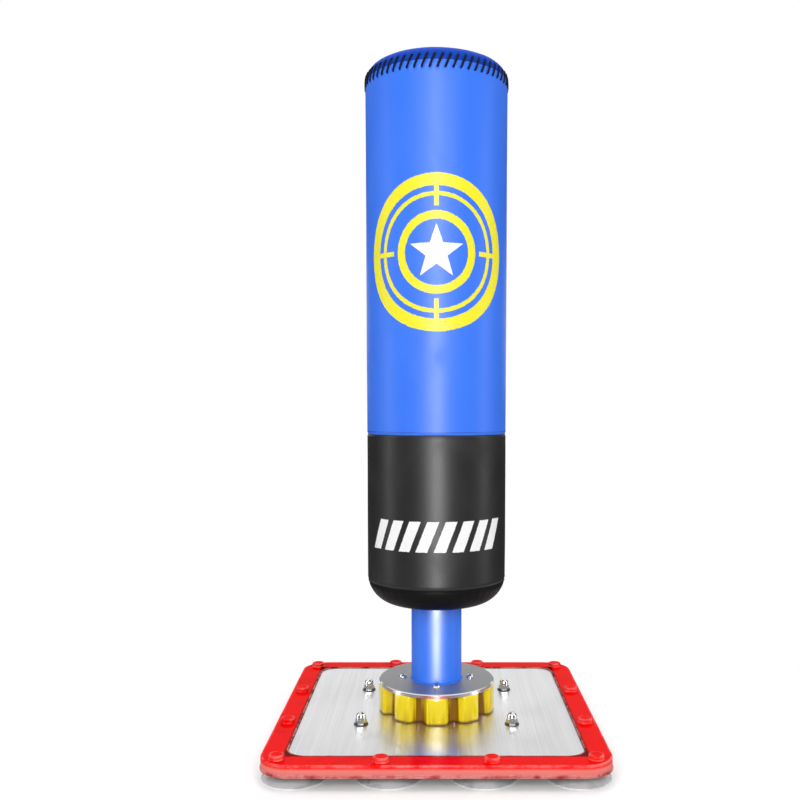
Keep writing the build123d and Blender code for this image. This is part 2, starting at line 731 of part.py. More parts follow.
# Piping along the bottom seam
with BuildPart() as bottom_piping:
    with BuildSketch(profile_plane()):
        with Locations(bottom_point(-piping_radius - slip_clearance / 2, bottom_seam_turn)):
            Circle(piping_radius)
    revolve(axis=Axis.Z)
write(bottom_piping, "bottom_piping")

# Strip sewn over the vertical seam at the back, from above the piping to below the stitches
strip_low = bottom_curve + seam_strip_gap
strip_high = bag_shoulder - lace_below - lace_radius - seam_strip_gap
strip_angle = seam_strip_width / (2 * pi * bag_top_radius) * 360
with BuildPart() as back_seam_strip:
    with BuildSketch(Plane.XZ.rotated((0, 0, 90 - strip_angle / 2))):
        with BuildLine():
            low, high = side_radius(strip_low) + weld_clearance, side_radius(strip_high) + weld_clearance
            Polyline(
                (low, strip_low),
                (low + seam_strip_thickness, strip_low),
                (high + seam_strip_thickness, strip_high),
                (high, strip_high),
                close=True,
            )
        make_face()
    revolve(axis=Axis.Z, revolution_arc=strip_angle)
write(back_seam_strip, "back_seam_strip")


def lace_point(turn, rise):
    """Where a stitch's centre line runs: turn in degrees round the bag, rise above the shoulder."""
    stand_off = lace_radius + slip_clearance
    if rise > 0:
        radius = shoulder_centre + sqrt((bag_shoulder_round + stand_off) ** 2 - rise**2)
    else:
        radius = bag_top_radius + stand_off
    return radius * cos(radians(turn)), radius * sin(radians(turn)), bag_shoulder + rise


# Lacing that joins the side to the crown: a ring of slanted stitches over the shoulder
with BuildPart() as top_lacing:
    for stitch in range(lace_count):
        turn = (stitch + 0.5) * 360 / lace_count - 90
        start = lace_point(turn - lace_slant / 2, -lace_below)
        middle = lace_point(turn, lace_above * lace_bend)
        end = lace_point(turn + lace_slant / 2, lace_above)
        with BuildLine() as path:
            ThreePointArc(start, middle, end)
        with BuildSketch(Plane(origin=path.line @ 0, z_dir=path.line % 0)):
            Circle(lace_radius)
        sweep(path=path.line)
write(top_lacing, "top_lacing")

print("nodes written:", len(os.listdir("parts")))
print("overall height:", bag_shoulder + bag_crown, "sway centre height:", damper_middle)
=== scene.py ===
# %% [markdown]
# # A free-standing boxing bag
#
# The bag is a padded roll in a coated-fabric cover. It hangs over a painted post, which stands on a
# lobed rubber damper, on a steel deck in a red plastic rim, on suction cups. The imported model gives
# every hard piece at its true place. This script gives each of them its finish, and makes the soft
# pieces again: the cover's panels, the lacing, the stitching and the rubber.

# %% Load the fixed frame
import json
from math import asin, atan2, cos, exp, pi, radians, sin, sqrt, tau

import bmesh
import bpy
from mathutils import Matrix, Vector, noise


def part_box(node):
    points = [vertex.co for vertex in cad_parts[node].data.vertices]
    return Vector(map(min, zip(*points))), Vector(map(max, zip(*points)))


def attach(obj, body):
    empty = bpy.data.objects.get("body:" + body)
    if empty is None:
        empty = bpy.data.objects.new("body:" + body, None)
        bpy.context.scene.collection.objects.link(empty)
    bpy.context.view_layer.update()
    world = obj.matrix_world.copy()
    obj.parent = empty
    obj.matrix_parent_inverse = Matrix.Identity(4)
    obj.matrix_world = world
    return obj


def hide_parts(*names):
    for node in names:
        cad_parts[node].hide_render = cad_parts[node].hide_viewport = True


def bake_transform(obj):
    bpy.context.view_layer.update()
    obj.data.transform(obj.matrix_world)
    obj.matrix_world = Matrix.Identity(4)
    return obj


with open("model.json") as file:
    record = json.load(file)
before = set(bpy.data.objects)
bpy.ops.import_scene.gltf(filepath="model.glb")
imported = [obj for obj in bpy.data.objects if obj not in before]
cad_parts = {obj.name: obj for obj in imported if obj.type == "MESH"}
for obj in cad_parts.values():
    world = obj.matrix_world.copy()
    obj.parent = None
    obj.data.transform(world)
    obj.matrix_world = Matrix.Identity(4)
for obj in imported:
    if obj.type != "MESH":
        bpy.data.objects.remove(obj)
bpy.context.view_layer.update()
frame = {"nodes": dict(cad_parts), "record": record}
nodes = frame["nodes"]
MM = 0.001

# %% [markdown]
# ## Measures read from the frame
#
# A new piece goes where the model's own piece is, so every height and radius below is read from a
# node's box. Only finish details, such as the depth of a stitch hole, are given as plain numbers.

# %% Heights and radii of the bag, the damper and the base
waist_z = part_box("cover_upper")[0].z
shoulder_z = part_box("cover_top_panel")[0].z
crown_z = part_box("cover_top_panel")[1].z
bottom_seam_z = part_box("cover_lower")[0].z
bag_bottom_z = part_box("cover_bottom_panel")[0].z
shoulder_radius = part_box("cover_top_panel")[1].x
post_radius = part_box("post_tube")[1].x
damper_low, damper_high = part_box("damper_block")
flange_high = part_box("post_flange")[1]
deck_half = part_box("deck_plate")[1].x
waist_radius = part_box("cover_lower")[1].x
bottom_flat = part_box("bottom_board")[1].x
side_slope = (shoulder_radius - waist_radius) / (shoulder_z - waist_z)
print("bag from", round(bag_bottom_z, 3), "to", round(crown_z, 3), "radius", round(shoulder_radius, 4))


def side_radius(z):
    """Outside radius of the cover on its straight side."""
    return waist_radius + (z - waist_z) * side_slope


# %% [markdown]
# ## The camera
#
# It is level, at about half the object's height, so that the bag's sides stay upright. The small
# shift frames the object off centre without turning the camera.

# %% Camera
camera_distance = 1.835
camera_height = 0.654
focal_length_mm = 40.5
camera_data = bpy.data.cameras.new("camera")
camera_data.lens = focal_length_mm
camera_data.sensor_width = 36
camera_data.shift_x, camera_data.shift_y = -0.0456, 0.0062
camera = bpy.data.objects.new("camera", camera_data)
camera.location = (0, -camera_distance, camera_height)
camera.rotation_euler = (pi / 2, 0, 0)
bpy.context.scene.collection.objects.link(camera)
bpy.context.scene.camera = camera
bpy.context.scene.view_settings.view_transform = "Standard"

# %% [markdown]
# ## Small helpers for shader nodes
#
# A node tree reads best as formulas. `put` adds a node and fills its inputs, with a value or with
# another node's output, and `calc` is one step of arithmetic.


# %% Node helpers
def put(tree, kind, inputs=(), **settings):
    """Adds a node to the tree. inputs maps a socket's name or number to a value or to another socket."""
    node = tree.nodes.new(kind)
    for key, value in settings.items():
        setattr(node, key, value)
    for key, value in dict(inputs).items():
        if isinstance(value, bpy.types.NodeSocket):
            tree.links.new(value, node.inputs[key])
        else:
            node.inputs[key].default_value = value
    return node


def calc(tree, operation, *values):
    """One step of arithmetic on values or sockets."""
    return put(tree, "ShaderNodeMath", dict(enumerate(values)), operation=operation).outputs[0]


def length_of(tree, first, second):
    """The length of a flat vector with two given sides."""
    squares = calc(tree, "POWER", first, 2.0), calc(tree, "POWER", second, 2.0)
    return calc(tree, "SQRT", calc(tree, "ADD", *squares))


def ramp(tree, value, low, high, out_low=0.0, out_high=1.0):
    """Eases a value from out_low to out_high as it goes from low to high."""
    inputs = {"Value": value, "From Min": low, "From Max": high, "To Min": out_low, "To Max": out_high}
    return put(tree, "ShaderNodeMapRange", inputs, interpolation_type="SMOOTHSTEP").outputs[0]


def mix_colors(tree, share, first, second):
    """A colour between first and second, each a socket or three numbers."""
    node = put(tree, "ShaderNodeMix", data_type="RGBA")
    tree.links.new(share, node.inputs[0])
    for key, value in ((6, first), (7, second)):
        if isinstance(value, bpy.types.NodeSocket):
            tree.links.new(value, node.inputs[key])
        else:
            node.inputs[key].default_value = (*value, 1)
    return node.outputs[2]


def scaled(color, share):
    """The colour with each of its three numbers times share."""
    return tuple(share * part for part in color)


def object_place(tree):
    """The socket that gives a point's place in the object's own space, in metres."""
    return put(tree, "ShaderNodeTexCoord").outputs["Object"]


def speckle(tree, scale, detail, place=None, **inputs):
    """Noise between 0 and 1, of the given scale and detail, over the object's own space."""
    place = object_place(tree) if place is None else place
    inputs = {"Vector": place, "Scale": scale, "Detail": detail, **inputs}
    return put(tree, "ShaderNodeTexNoise", inputs).outputs[0]


def new_group(name, inputs, outputs):
    """A shader node group with number inputs and outputs. Returns its tree, input node and output node."""
    tree = bpy.data.node_groups.new(name, "ShaderNodeTree")
    for label, value in inputs.items():
        socket = tree.interface.new_socket(label, in_out="INPUT", socket_type="NodeSocketFloat")
        socket.default_value = value
    for label in outputs:
        tree.interface.new_socket(label, in_out="OUTPUT", socket_type="NodeSocketFloat")
    return tree, tree.nodes.new("NodeGroupInput").outputs, tree.nodes.new("NodeGroupOutput").inputs


def use_group(tree, group, **inputs):
    """Places a group in a material, and gives back its outputs."""
    node = put(tree, "ShaderNodeGroup", node_tree=group)
    for key, value in inputs.items():
        node.inputs[key.replace("_", " ")].default_value = value
    return node.outputs


# %% A material with its plain numbers
def finish(name, color, roughness, **sockets):
    """A new material: its tree and its shader's inputs, with the plain values set on the shader."""
    material = bpy.data.materials.new(name)
    material.use_nodes = True
    shader = material.node_tree.nodes["Principled BSDF"].inputs
    shader["Base Color"].default_value = (*color, 1)
    shader["Roughness"].default_value = roughness
    for key, value in sockets.items():
        shader[key.replace("_", " ")].default_value = value
    return material, material.node_tree, shader


# %% [markdown]
# ## Floor and light
#
# A pale floor that fades out before its edge, so that no horizon shows, and a white surround.
# Soft boxes light the object: a tall narrow one in front, which draws the bright line down the bag,
# and broad or low ones that fill the front, the sides and the deck.


# %% Floor
floor_radius = 1.6
fade_start, fade_end = 0.40, 1.0
floor_glow = 0.10


def new_piece(mesh_maker, name, materials=()):
    """Runs mesh_maker on an empty bmesh and links the result as an object at the origin."""
    shape = bmesh.new()
    mesh_maker(shape)
    mesh = bpy.data.meshes.new(name)
    shape.to_mesh(mesh)
    shape.free()
    piece = bpy.data.objects.new(name, mesh)
    bpy.context.scene.collection.objects.link(piece)
    for material in materials:
        mesh.materials.append(material)
    return piece


floor = new_piece(
    lambda shape: bmesh.ops.create_circle(shape, cap_ends=True, segments=64, radius=floor_radius), "floor"
)
floor_finish, tree, shader = finish("pale_floor", (0.95, 0.95, 0.95), 0.5, Emission_Strength=floor_glow)
shader["Emission Color"].default_value = (1, 1, 1, 1)
reach = put(tree, "ShaderNodeVectorMath", {0: object_place(tree)}, operation="LENGTH").outputs["Value"]
tree.links.new(ramp(tree, reach, fade_end, fade_start), shader["Alpha"])
floor.data.materials.append(floor_finish)


# %% Surround and soft boxes
def soft_box(name, place, aim, width, height, power, seen_by):
    """A rectangular area light at place, facing aim, for either diffuse or glossy rays."""
    light = bpy.data.lights.new(name, "AREA")
    light.shape = "RECTANGLE"
    light.size, light.size_y, light.energy = width, height, power
    lamp = bpy.data.objects.new(name, light)
    lamp.location = place
    lamp.rotation_euler = (Vector(aim) - Vector(place)).to_track_quat("-Z", "Y").to_euler()
    lamp.visible_camera = False
    lamp.visible_diffuse = seen_by == "diffuse"
    lamp.visible_glossy = seen_by == "glossy"
    bpy.context.scene.collection.objects.link(lamp)
    return lamp


# The camera sees plain white. Reflections see a surround that is dark low down and bright overhead,
# so that the sides of round pieces darken, and everything else is lit by an even grey.
ambient = 0.66
world = bpy.data.worlds.new("studio")
world.use_nodes = True
bpy.context.scene.world = world
tree = world.node_tree
surround = tree.nodes["Background"].inputs
surround["Color"].default_value = (1, 1, 1, 1)
ray = put(tree, "ShaderNodeLightPath").outputs
direction = put(tree, "ShaderNodeTexCoord").outputs["Generated"]
steepness = put(tree, "ShaderNodeSeparateXYZ", {0: direction}).outputs["Z"]
reflected = ramp(tree, steepness, 0.22, 0.75, 0.05, 0.95)
unseen = put(tree, "ShaderNodeMix", {0: ray["Is Glossy Ray"], 2: ambient, 3: reflected}).outputs[0]
strength = put(tree, "ShaderNodeMix", {0: ray["Is Camera Ray"], 2: unseen, 3: 1.0}).outputs[0]
tree.links.new(strength, surround["Strength"])

# Each box: its place, the point it faces, its width and height, its power in watts and its rays.
front_strip = soft_box("front_strip", (0, -3.2, 0.75), (0, 0, 0.75), 0.40, 3.0, 195, "glossy")
soft_box("front_left", (-1.3, -3.0, 1.9), (0, 0, 0.7), 1.2, 1.6, 30, "diffuse")
soft_box("front_right", (1.3, -3.0, 1.9), (0, 0, 0.7), 1.2, 1.6, 30, "diffuse")
soft_box("left_edge", (-3.0, -0.4, 0.9), (0, 0, 0.7), 0.25, 2.4, 26, "glossy")
soft_box("right_edge", (3.0, -0.4, 0.9), (0, 0, 0.7), 0.25, 2.4, 26, "glossy")
soft_box("deck_panel", (0, 3.0, 1.1), (0, 0, 0.1), 5.0, 0.8, 13, "glossy")
soft_box("top_box", (0, 0.4, 3.2), (0, 0, 0), 2.0, 2.0, 36, "diffuse")

# The strip would glare on the metal deck when seen from behind, so the deck is left out of it.
not_lit = bpy.data.collections.new("not_lit_by_strip")
not_lit.objects.link(nodes["deck_plate"])
not_lit.collection_objects[0].light_linking.link_state = "EXCLUDE"
front_strip.light_linking.receiver_collection = not_lit

# The post stands in the bag's shade, so it has a strip of its own.
post_strip = soft_box("post_strip", (0, -3.2, 0.5), (0, 0, 0.3), 1.7, 2.4, 860, "glossy")
lit_post = bpy.data.collections.new("lit_by_post_strip")
lit_post.objects.link(nodes["post_tube"])
post_strip.light_linking.receiver_collection = lit_post

# %% [markdown]
# ## Effects that several materials share
#
# Coated fabric has a pebbled grain. Plastic, rubber and metal pick up smudges and fine dust. Sheet
# steel is brushed in one direction. Moulded edges rub lighter, and on the red rim the lighter edges are a
# painted highlight. Each is a group with its own inputs, so that a material only says how strong and how
# fine it is.

# %% Pebbled grain of coated fabric
grain, given, result = new_group("pebbled_grain", {"Size": 0.0016}, ["Height", "Tone"])
place = object_place(grain)
scale = calc(grain, "DIVIDE", 1.0, given["Size"])
warp = put(grain, "ShaderNodeTexNoise", {"Vector": place, "Scale": 240.0, "Detail": 2.0})
warp_by = put(grain, "ShaderNodeVectorMath", {0: warp.outputs["Color"], "Scale": 0.0012}, operation="SCALE")
warped = put(grain, "ShaderNodeVectorMath", {0: place, 1: warp_by.outputs[0]}, operation="ADD").outputs[0]
cells = put(grain, "ShaderNodeTexVoronoi", {"Vector": warped, "Scale": scale}, feature="SMOOTH_F1")
fine = speckle(grain, 1500.0, 3.0, place)
pebble = calc(grain, "SUBTRACT", 1.0, cells.outputs["Distance"])
height = calc(grain, "MULTIPLY_ADD", fine, 0.35, pebble)
grain.links.new(height, result["Height"])
broad = speckle(grain, 7.0, 4.0, place)
tone = calc(grain, "MULTIPLY_ADD", fine, 0.4, calc(grain, "MULTIPLY", broad, 0.6))
grain.links.new(tone, result["Tone"])

# %% Smudges and dust
smudge, given, result = new_group("smudges", {"Scale": 9.0}, ["Smudge", "Dust"])
place = object_place(smudge)
patches = speckle(smudge, given["Scale"], 6.0, place, Distortion=0.8)
smudge.links.new(ramp(smudge, patches, 0.45, 0.7), result["Smudge"])
specks = speckle(smudge, 420.0, 2.0, place)
smudge.links.new(ramp(smudge, specks, 0.66, 0.74), result["Dust"])

# %% Brushing along one direction
brushing, given, result = new_group("brushing", {"Across": 1400.0, "Along": 5.0}, ["Streak", "Broad"])
place = object_place(brushing)
stretch = put(brushing, "ShaderNodeCombineXYZ", {0: given["Across"], 1: given["Along"], 2: 40.0})
along = put(brushing, "ShaderNodeVectorMath", {0: place, 1: stretch.outputs[0]}, operation="MULTIPLY")
streaks = speckle(brushing, 1.0, 5.0, along.outputs[0])
brushing.links.new(streaks, result["Streak"])
wider = {0: along.outputs[0], 1: (0.08, 0.3, 1.0)}
wide = put(brushing, "ShaderNodeVectorMath", wider, operation="MULTIPLY")
bands = speckle(brushing, 1.0, 3.0, wide.outputs[0])
brushing.links.new(bands, result["Broad"])

# %% Rubbed edges, and a painted edge highlight: where a softened normal turns away from the true one
edges, given, result = new_group("edge_wear_and_highlight", {"Width": 0.0015}, ["Edge"])
soft = put(edges, "ShaderNodeBevel", {"Radius": given["Width"]}, samples=4)
true_normal = put(edges, "ShaderNodeNewGeometry").outputs["Normal"]
turned = put(edges, "ShaderNodeVectorMath", {0: soft.outputs[0], 1: true_normal}, operation="DOT_PRODUCT")
patchy = speckle(edges, 60.0, 4.0)
turn_share = ramp(edges, turned.outputs["Value"], 0.995, 0.86)
edges.links.new(calc(edges, "MULTIPLY", turn_share, ramp(edges, patchy, 0.3, 0.6)), result["Edge"])

# %% Place on a round side: distance round it, and turn
around, given, result = new_group("round_the_side", {"Radius": 0.14}, ["Around", "Up", "Out"])
split = put(around, "ShaderNodeSeparateXYZ", {0: object_place(around)}).outputs
turn = calc(around, "ARCTAN2", split[0], calc(around, "MULTIPLY", split[1], -1.0))
around.links.new(calc(around, "MULTIPLY", turn, given["Radius"]), result["Around"])
around.links.new(split[2], result["Up"])
around.links.new(length_of(around, split[0], split[1]), result["Out"])
print("shared effects:", [group.name for group in bpy.data.node_groups])


# %% [markdown]
# ## Finishes
#
# `finish` starts a material from the numbers that are the same all over it. The sections after it
# add what changes from place to place: grain, print, streaks and wear.


# %% Bump, colour and roughness that change over a surface
def raise_surface(tree, shader, height, depth, strength=1.0):
    """Bump of the given depth in metres from a height."""
    bump = put(tree, "ShaderNodeBump", {"Height": height, "Distance": depth, "Strength": strength})
    tree.links.new(bump.outputs[0], shader["Normal"])


def paint(tree, shader, color):
    """Takes the surface's colour from a socket."""
    tree.links.new(color, shader["Base Color"])


def roughen(tree, shader, share, low, high):
    """Lets the roughness go from low to high with a share."""
    tree.links.new(ramp(tree, share, 0.0, 1.0, low, high), shader["Roughness"])


# %% [markdown]
# ### Coated fabric, plain and printed
#
# The print is ink on the fabric, so it is part of the colour. Its shapes are distances from a
# centre on the unrolled side: rings and a star on the blue panel, slanted bars on the black one.


# %% Ink shapes on the unrolled side
def worn_ink(tree, mask):
    """An ink mask with small gaps where the ink has rubbed off the grain."""
    rub = speckle(tree, 330.0, 5.0)
    return calc(tree, "MULTIPLY", mask, ramp(tree, rub, 0.26, 0.34))


def ring_mask(tree, distance, radius, half_width, blur=0.0006):
    """1 on a ring of the given radius, 0 away from it."""
    off = calc(tree, "ABSOLUTE", calc(tree, "SUBTRACT", distance, radius))
    return ramp(tree, off, half_width + blur, half_width - blur)


def star_mask(tree, angle, distance, tip, notch, points=5):
    """1 inside a star with the given tip and notch radii."""
    half_turn = pi / points
    turned_angle = calc(tree, "MODULO", calc(tree, "ADD", angle, tau + half_turn), 2 * half_turn)
    from_tip = calc(tree, "ABSOLUTE", calc(tree, "SUBTRACT", turned_angle, half_turn))
    tip_side = calc(tree, "MULTIPLY", calc(tree, "SINE", from_tip), tip)
    from_notch = calc(tree, "SUBTRACT", half_turn, from_tip)
    notch_side = calc(tree, "MULTIPLY", calc(tree, "SINE", from_notch), notch)
    edge = calc(tree, "DIVIDE", tip * notch * sin(half_turn), calc(tree, "ADD", tip_side, notch_side))
    return ramp(tree, calc(tree, "SUBTRACT", distance, edge), 0.0006, -0.0006)


# %% Coated fabric
print_z = waist_z + 0.488 * (shoulder_z - waist_z)
print_radius = 152 * MM
star_tip, star_notch = 56 * MM, 23.5 * MM
bars_z = bottom_seam_z + 0.35 * (waist_z - bottom_seam_z)


def coated_fabric(name, dark, light, roughness=0.46, shine=0.3):
    """Pebbled, slightly uneven coated fabric."""
    material, tree, shader = finish(name, light, roughness, Specular_IOR_Level=shine)
    pebbles = use_group(tree, grain, Size=0.0017)
    color = mix_colors(tree, pebbles["Tone"], dark, light)
    paint(tree, shader, color)
    smudges = use_group(tree, smudge, Scale=6.0)
    roughen(tree, shader, smudges["Smudge"], roughness - 0.04, roughness + 0.07)
    raise_surface(tree, shader, pebbles["Height"], 0.00022, 0.5)
    return material, tree, shader, color


blue_fabric, tree, shader, blue = coated_fabric(
    "blue_coated_fabric", (0.022, 0.155, 0.86), (0.036, 0.205, 0.98)
)
where = use_group(tree, around, Radius=shoulder_radius)
up = calc(tree, "SUBTRACT", where["Up"], print_z)
distance = length_of(tree, where["Around"], up)
angle = calc(tree, "ARCTAN2", where["Around"], up)
frayed = speckle(tree, 190.0, 4.0)
frayed_distance = calc(tree, "MULTIPLY_ADD", frayed, 0.003, distance)
yellow_ink = 0.0
for inset, half_width in ((13 * MM, 12 * MM), (40 * MM, 4 * MM), (80 * MM, 8 * MM)):
    ring = ring_mask(tree, frayed_distance, print_radius - inset, half_width)
    yellow_ink = calc(tree, "MAXIMUM", yellow_ink, ring)
off_axis = calc(tree, "MULTIPLY", calc(tree, "SINE", calc(tree, "PINGPONG", angle, pi / 4)), distance)
spoke = ramp(tree, off_axis, 5.0 * MM, 3.8 * MM)
spoke_start = ramp(tree, distance, print_radius - 65 * MM, print_radius - 64 * MM)
spoke_end = ramp(tree, distance, print_radius - 3 * MM, print_radius - 4 * MM)
spoke_reach = calc(tree, "MULTIPLY", spoke_start, spoke_end)
yellow_ink = calc(tree, "MAXIMUM", yellow_ink, calc(tree, "MULTIPLY", spoke, spoke_reach))
yellow_ink = worn_ink(tree, yellow_ink)
white_ink = worn_ink(tree, star_mask(tree, angle, frayed_distance, star_tip, star_notch))
printed = mix_colors(tree, yellow_ink, blue, (0.93, 0.84, 0.006))
paint(tree, shader, mix_colors(tree, white_ink, printed, (0.93, 0.93, 0.93)))

black_fabric = coated_fabric(
    "black_coated_fabric", (0.004, 0.004, 0.004), (0.009, 0.009, 0.010), 0.5, 0.06
)[0]
printed_black, tree, shader, black = coated_fabric(
    "printed_black_fabric", (0.010, 0.010, 0.011), (0.022, 0.022, 0.024), 0.44
)
where = use_group(tree, around, Radius=waist_radius)
up = calc(tree, "SUBTRACT", where["Up"], bars_z)
bar_pitch, bar_half, bar_rise, bar_reach = 35.5 * MM, 11.5 * MM, 29 * MM, 142 * MM
bar_slant = 0.4
pitches_aside = 40.5  # keeps the place along the row above 0, with a gap or bar beside the middle
leaning = calc(tree, "SUBTRACT", where["Around"], calc(tree, "MULTIPLY", up, bar_slant))
frayed = speckle(tree, 190.0, 4.0)
off_bar = calc(tree, "PINGPONG", calc(tree, "ADD", leaning, pitches_aside * bar_pitch), bar_pitch / 2)
off_bar = calc(tree, "MULTIPLY_ADD", frayed, 0.002, off_bar)
bar = ramp(tree, off_bar, bar_half + 0.0015, bar_half + 0.0005)
off_row = calc(tree, "MULTIPLY_ADD", frayed, 0.002, calc(tree, "ABSOLUTE", up))
in_row = ramp(tree, off_row, bar_rise + 0.0015, bar_rise + 0.0005)
in_reach = ramp(tree, calc(tree, "ABSOLUTE", leaning), bar_reach + 0.0005, bar_reach - 0.0005)
white_ink = worn_ink(tree, calc(tree, "MULTIPLY", bar, calc(tree, "MULTIPLY", in_row, in_reach)))
paint(tree, shader, mix_colors(tree, white_ink, black, (0.9, 0.9, 0.9)))

# The crown is the blue fabric made much darker, as painted shade on the top of the bag.
shaded_crown_fabric = coated_fabric(
    "shaded_crown_coated_fabric", (0.004, 0.042, 0.34), (0.007, 0.066, 0.50), 0.5, 0.05
)[0]



# %% Lace and sewing thread
def cord_finish(name, color, pitch):
    """Braided cord: two crossed twills over the round side."""
    material, tree, shader = finish(name, color, 0.6, Specular_IOR_Level=0.15)
    where = use_group(tree, around, Radius=shoulder_radius)
    twills = []
    for lean in (-1.0, 1.0):
        phase = calc(tree, "MULTIPLY_ADD", where["Up"], lean, where["Around"])
        twills.append(calc(tree, "SINE", calc(tree, "MULTIPLY", phase, tau / pitch)))
    weave = calc(tree, "MAXIMUM", *twills)
    raise_surface(tree, shader, weave, 0.0003, 0.8)
    share = ramp(tree, weave, -0.6, 1.0)
    paint(tree, shader, mix_colors(tree, share, scaled(color, 0.35), color))
    return material


lace = cord_finish("navy_lace", (0.002, 0.004, 0.022), 0.0022)
blue_thread = cord_finish("blue_thread", (0.02, 0.10, 0.55), 0.0008)
black_thread = cord_finish("black_thread", (0.02, 0.02, 0.022), 0.0008)


# %% [markdown]
# ### Moulded plastic, rubber, paint and metal


# %% Moulded plastic
def moulded(name, color, roughness, edge_wear_and_highlight_color, dust=0.1, edge_width=0.0014, rub=0.55, **sockets):
    """Glossy or matt moulded plastic with lighter edges, which are rubbed wear and also a painted
    highlight, smudges and a very slight waviness.

    The red rim has painted shade low on its side, a painted reflection as a pale band there, and painted
    shade in the gap against the deck.
    """
    material, tree, shader = finish(name, color, roughness, **sockets)
    edge_wear_and_highlight_share = use_group(tree, edges, Width=edge_width)["Edge"]
    marks = use_group(tree, smudge, Scale=14.0)
    tone = mix_colors(tree, marks["Smudge"], color, scaled(color, 0.88))
    if name == "red_moulding":
        place = put(tree, "ShaderNodeSeparateXYZ", {0: object_place(tree)}).outputs
        # Painted shade: the rim's side is darker low down.
        painted_low_shade = ramp(tree, place[2], 0.040, 0.024)
        tone = mix_colors(tree, painted_low_shade, tone, scaled(color, 0.42))
        # Painted reflection: a pale band across the rim's side.
        painted_reflection_foot = ramp(tree, place[2], 0.022, 0.028)
        painted_reflection_band = calc(tree, "MULTIPLY", painted_reflection_foot, ramp(tree, place[2], 0.038, 0.032, 0.0, 0.45))
        tone = mix_colors(tree, painted_reflection_band, tone, (0.95, 0.40, 0.36))
        # Painted shade: the rim darkens in the gap against the deck.
        sides = calc(tree, "ABSOLUTE", place[0]), calc(tree, "ABSOLUTE", place[1])
        from_middle = calc(tree, "MAXIMUM", *sides)
        painted_gap_shade = ramp(tree, from_middle, deck_half + 8 * MM, deck_half + 3 * MM)
        tone = mix_colors(tree, calc(tree, "MULTIPLY", painted_gap_shade, 0.9), tone, scaled(color, 0.08))
    # Lighter edges: rubbed wear, and on the red rim a painted highlight.
    worn = mix_colors(tree, calc(tree, "MULTIPLY", edge_wear_and_highlight_share, rub), tone, edge_wear_and_highlight_color)
    dusty = mix_colors(tree, calc(tree, "MULTIPLY", marks["Dust"], dust), worn, (0.75, 0.72, 0.7))
    paint(tree, shader, dusty)
    roughen(tree, shader, marks["Smudge"], roughness, roughness + 0.12)
    raise_surface(tree, shader, speckle(tree, 260.0, 2.0), 0.0001, 0.5)
    return material


# The red rim's wide, strong pale edge colour is a painted highlight along its edges.
rim_gloss = {"Specular_IOR_Level": 0.0, "Coat_Weight": 0.10, "Coat_Roughness": 0.1}
red_plastic = moulded(
    "red_moulding", (0.84, 0.003, 0.002), 0.2, (1.0, 0.42, 0.38), 0.02, 0.006, 0.9, **rim_gloss
)
black_plastic = moulded("black_moulding", (0.022, 0.022, 0.024), 0.45, (0.08, 0.08, 0.08))
grey_plastic = moulded("grey_moulding", (0.33, 0.33, 0.34), 0.5, (0.5, 0.5, 0.5))
white_plastic = moulded("white_moulding", (0.82, 0.82, 0.79), 0.4, (0.9, 0.9, 0.88))

# %% Painted post
blue_paint, tree, shader = finish("blue_paint", (0.02, 0.18, 0.98), 0.42, Specular_IOR_Level=0.35)
raise_surface(tree, shader, speckle(tree, 380.0, 1.0), 0.00012, 0.35)
marks = use_group(tree, smudge, Scale=10.0)
paint(tree, shader, mix_colors(tree, marks["Smudge"], (0.016, 0.19, 1.0), (0.012, 0.17, 0.96)))
roughen(tree, shader, marks["Smudge"], 0.40, 0.46)


# %% Clear cast rubber: bright on the lobes, with painted shade in the hollows, lower down and at the foot, and streaks that are partly painted highlights
lobe_tip = damper_high.y
lobe_valley = lobe_tip - 18 * MM
# The second and third colours are painted shade: in the hollows and low down, and at the foot.
bright, shaded_amber, foot_shade_amber = (1.0, 0.77, 0.008), (0.30, 0.125, 0.001), (0.16, 0.055, 0.001)
roughness = 0.2
gloss = {"Specular_IOR_Level": 0.4, "Coat_Weight": 0.25, "Coat_Roughness": 0.1}
depth_glow = {
    "Subsurface_Weight": 0.06, "Subsurface_Scale": 0.006, "Subsurface_Radius": (1.0, 0.6, 0.05)
}
amber_rubber, tree, shader = finish("clear_amber_rubber", bright, roughness, **gloss, **depth_glow)
where = use_group(tree, around, Radius=0.1)
stretched = put(tree, "ShaderNodeCombineXYZ", {0: where["Around"], 1: where["Out"]}).outputs[0]
flow = speckle(tree, 130.0, 2.0, stretched)
swirled = calc(tree, "MULTIPLY_ADD", speckle(tree, 35.0, 3.0), 0.003, where["Out"])
# Painted shade: the colour darkens from the lobe tips into the hollows between them.
depth = calc(tree, "MULTIPLY_ADD", flow, 0.016, swirled)
# Painted shade: the rubber is darker lower down.
rise = ramp(tree, where["Up"], damper_low.z, damper_high.z, -0.22, 0.26)
share = calc(tree, "ADD", ramp(tree, depth, lobe_valley + 10 * MM, lobe_tip + 6 * MM), rise)
# Flow streaks in the rubber, which also paint thin upright highlights on the lobes.
flow_streak_and_highlight = ramp(tree, flow, 0.42, 0.60, -0.16, 0.16)
share = ramp(tree, calc(tree, "ADD", share, flow_streak_and_highlight), 0.0, 1.0)
# Painted shade at the foot, where the damper stands on the deck.
foot_shade = ramp(tree, where["Up"], damper_low.z + 6 * MM, damper_low.z + 2 * MM, 0.0, 0.75)
tone = mix_colors(tree, share, shaded_amber, bright)
paint(tree, shader, mix_colors(tree, foot_shade, tone, foot_shade_amber))
marks = use_group(tree, smudge, Scale=25.0)
roughen(tree, shader, marks["Smudge"], roughness, roughness + 0.1)
raise_surface(tree, shader, flow, 0.0004, 0.5)

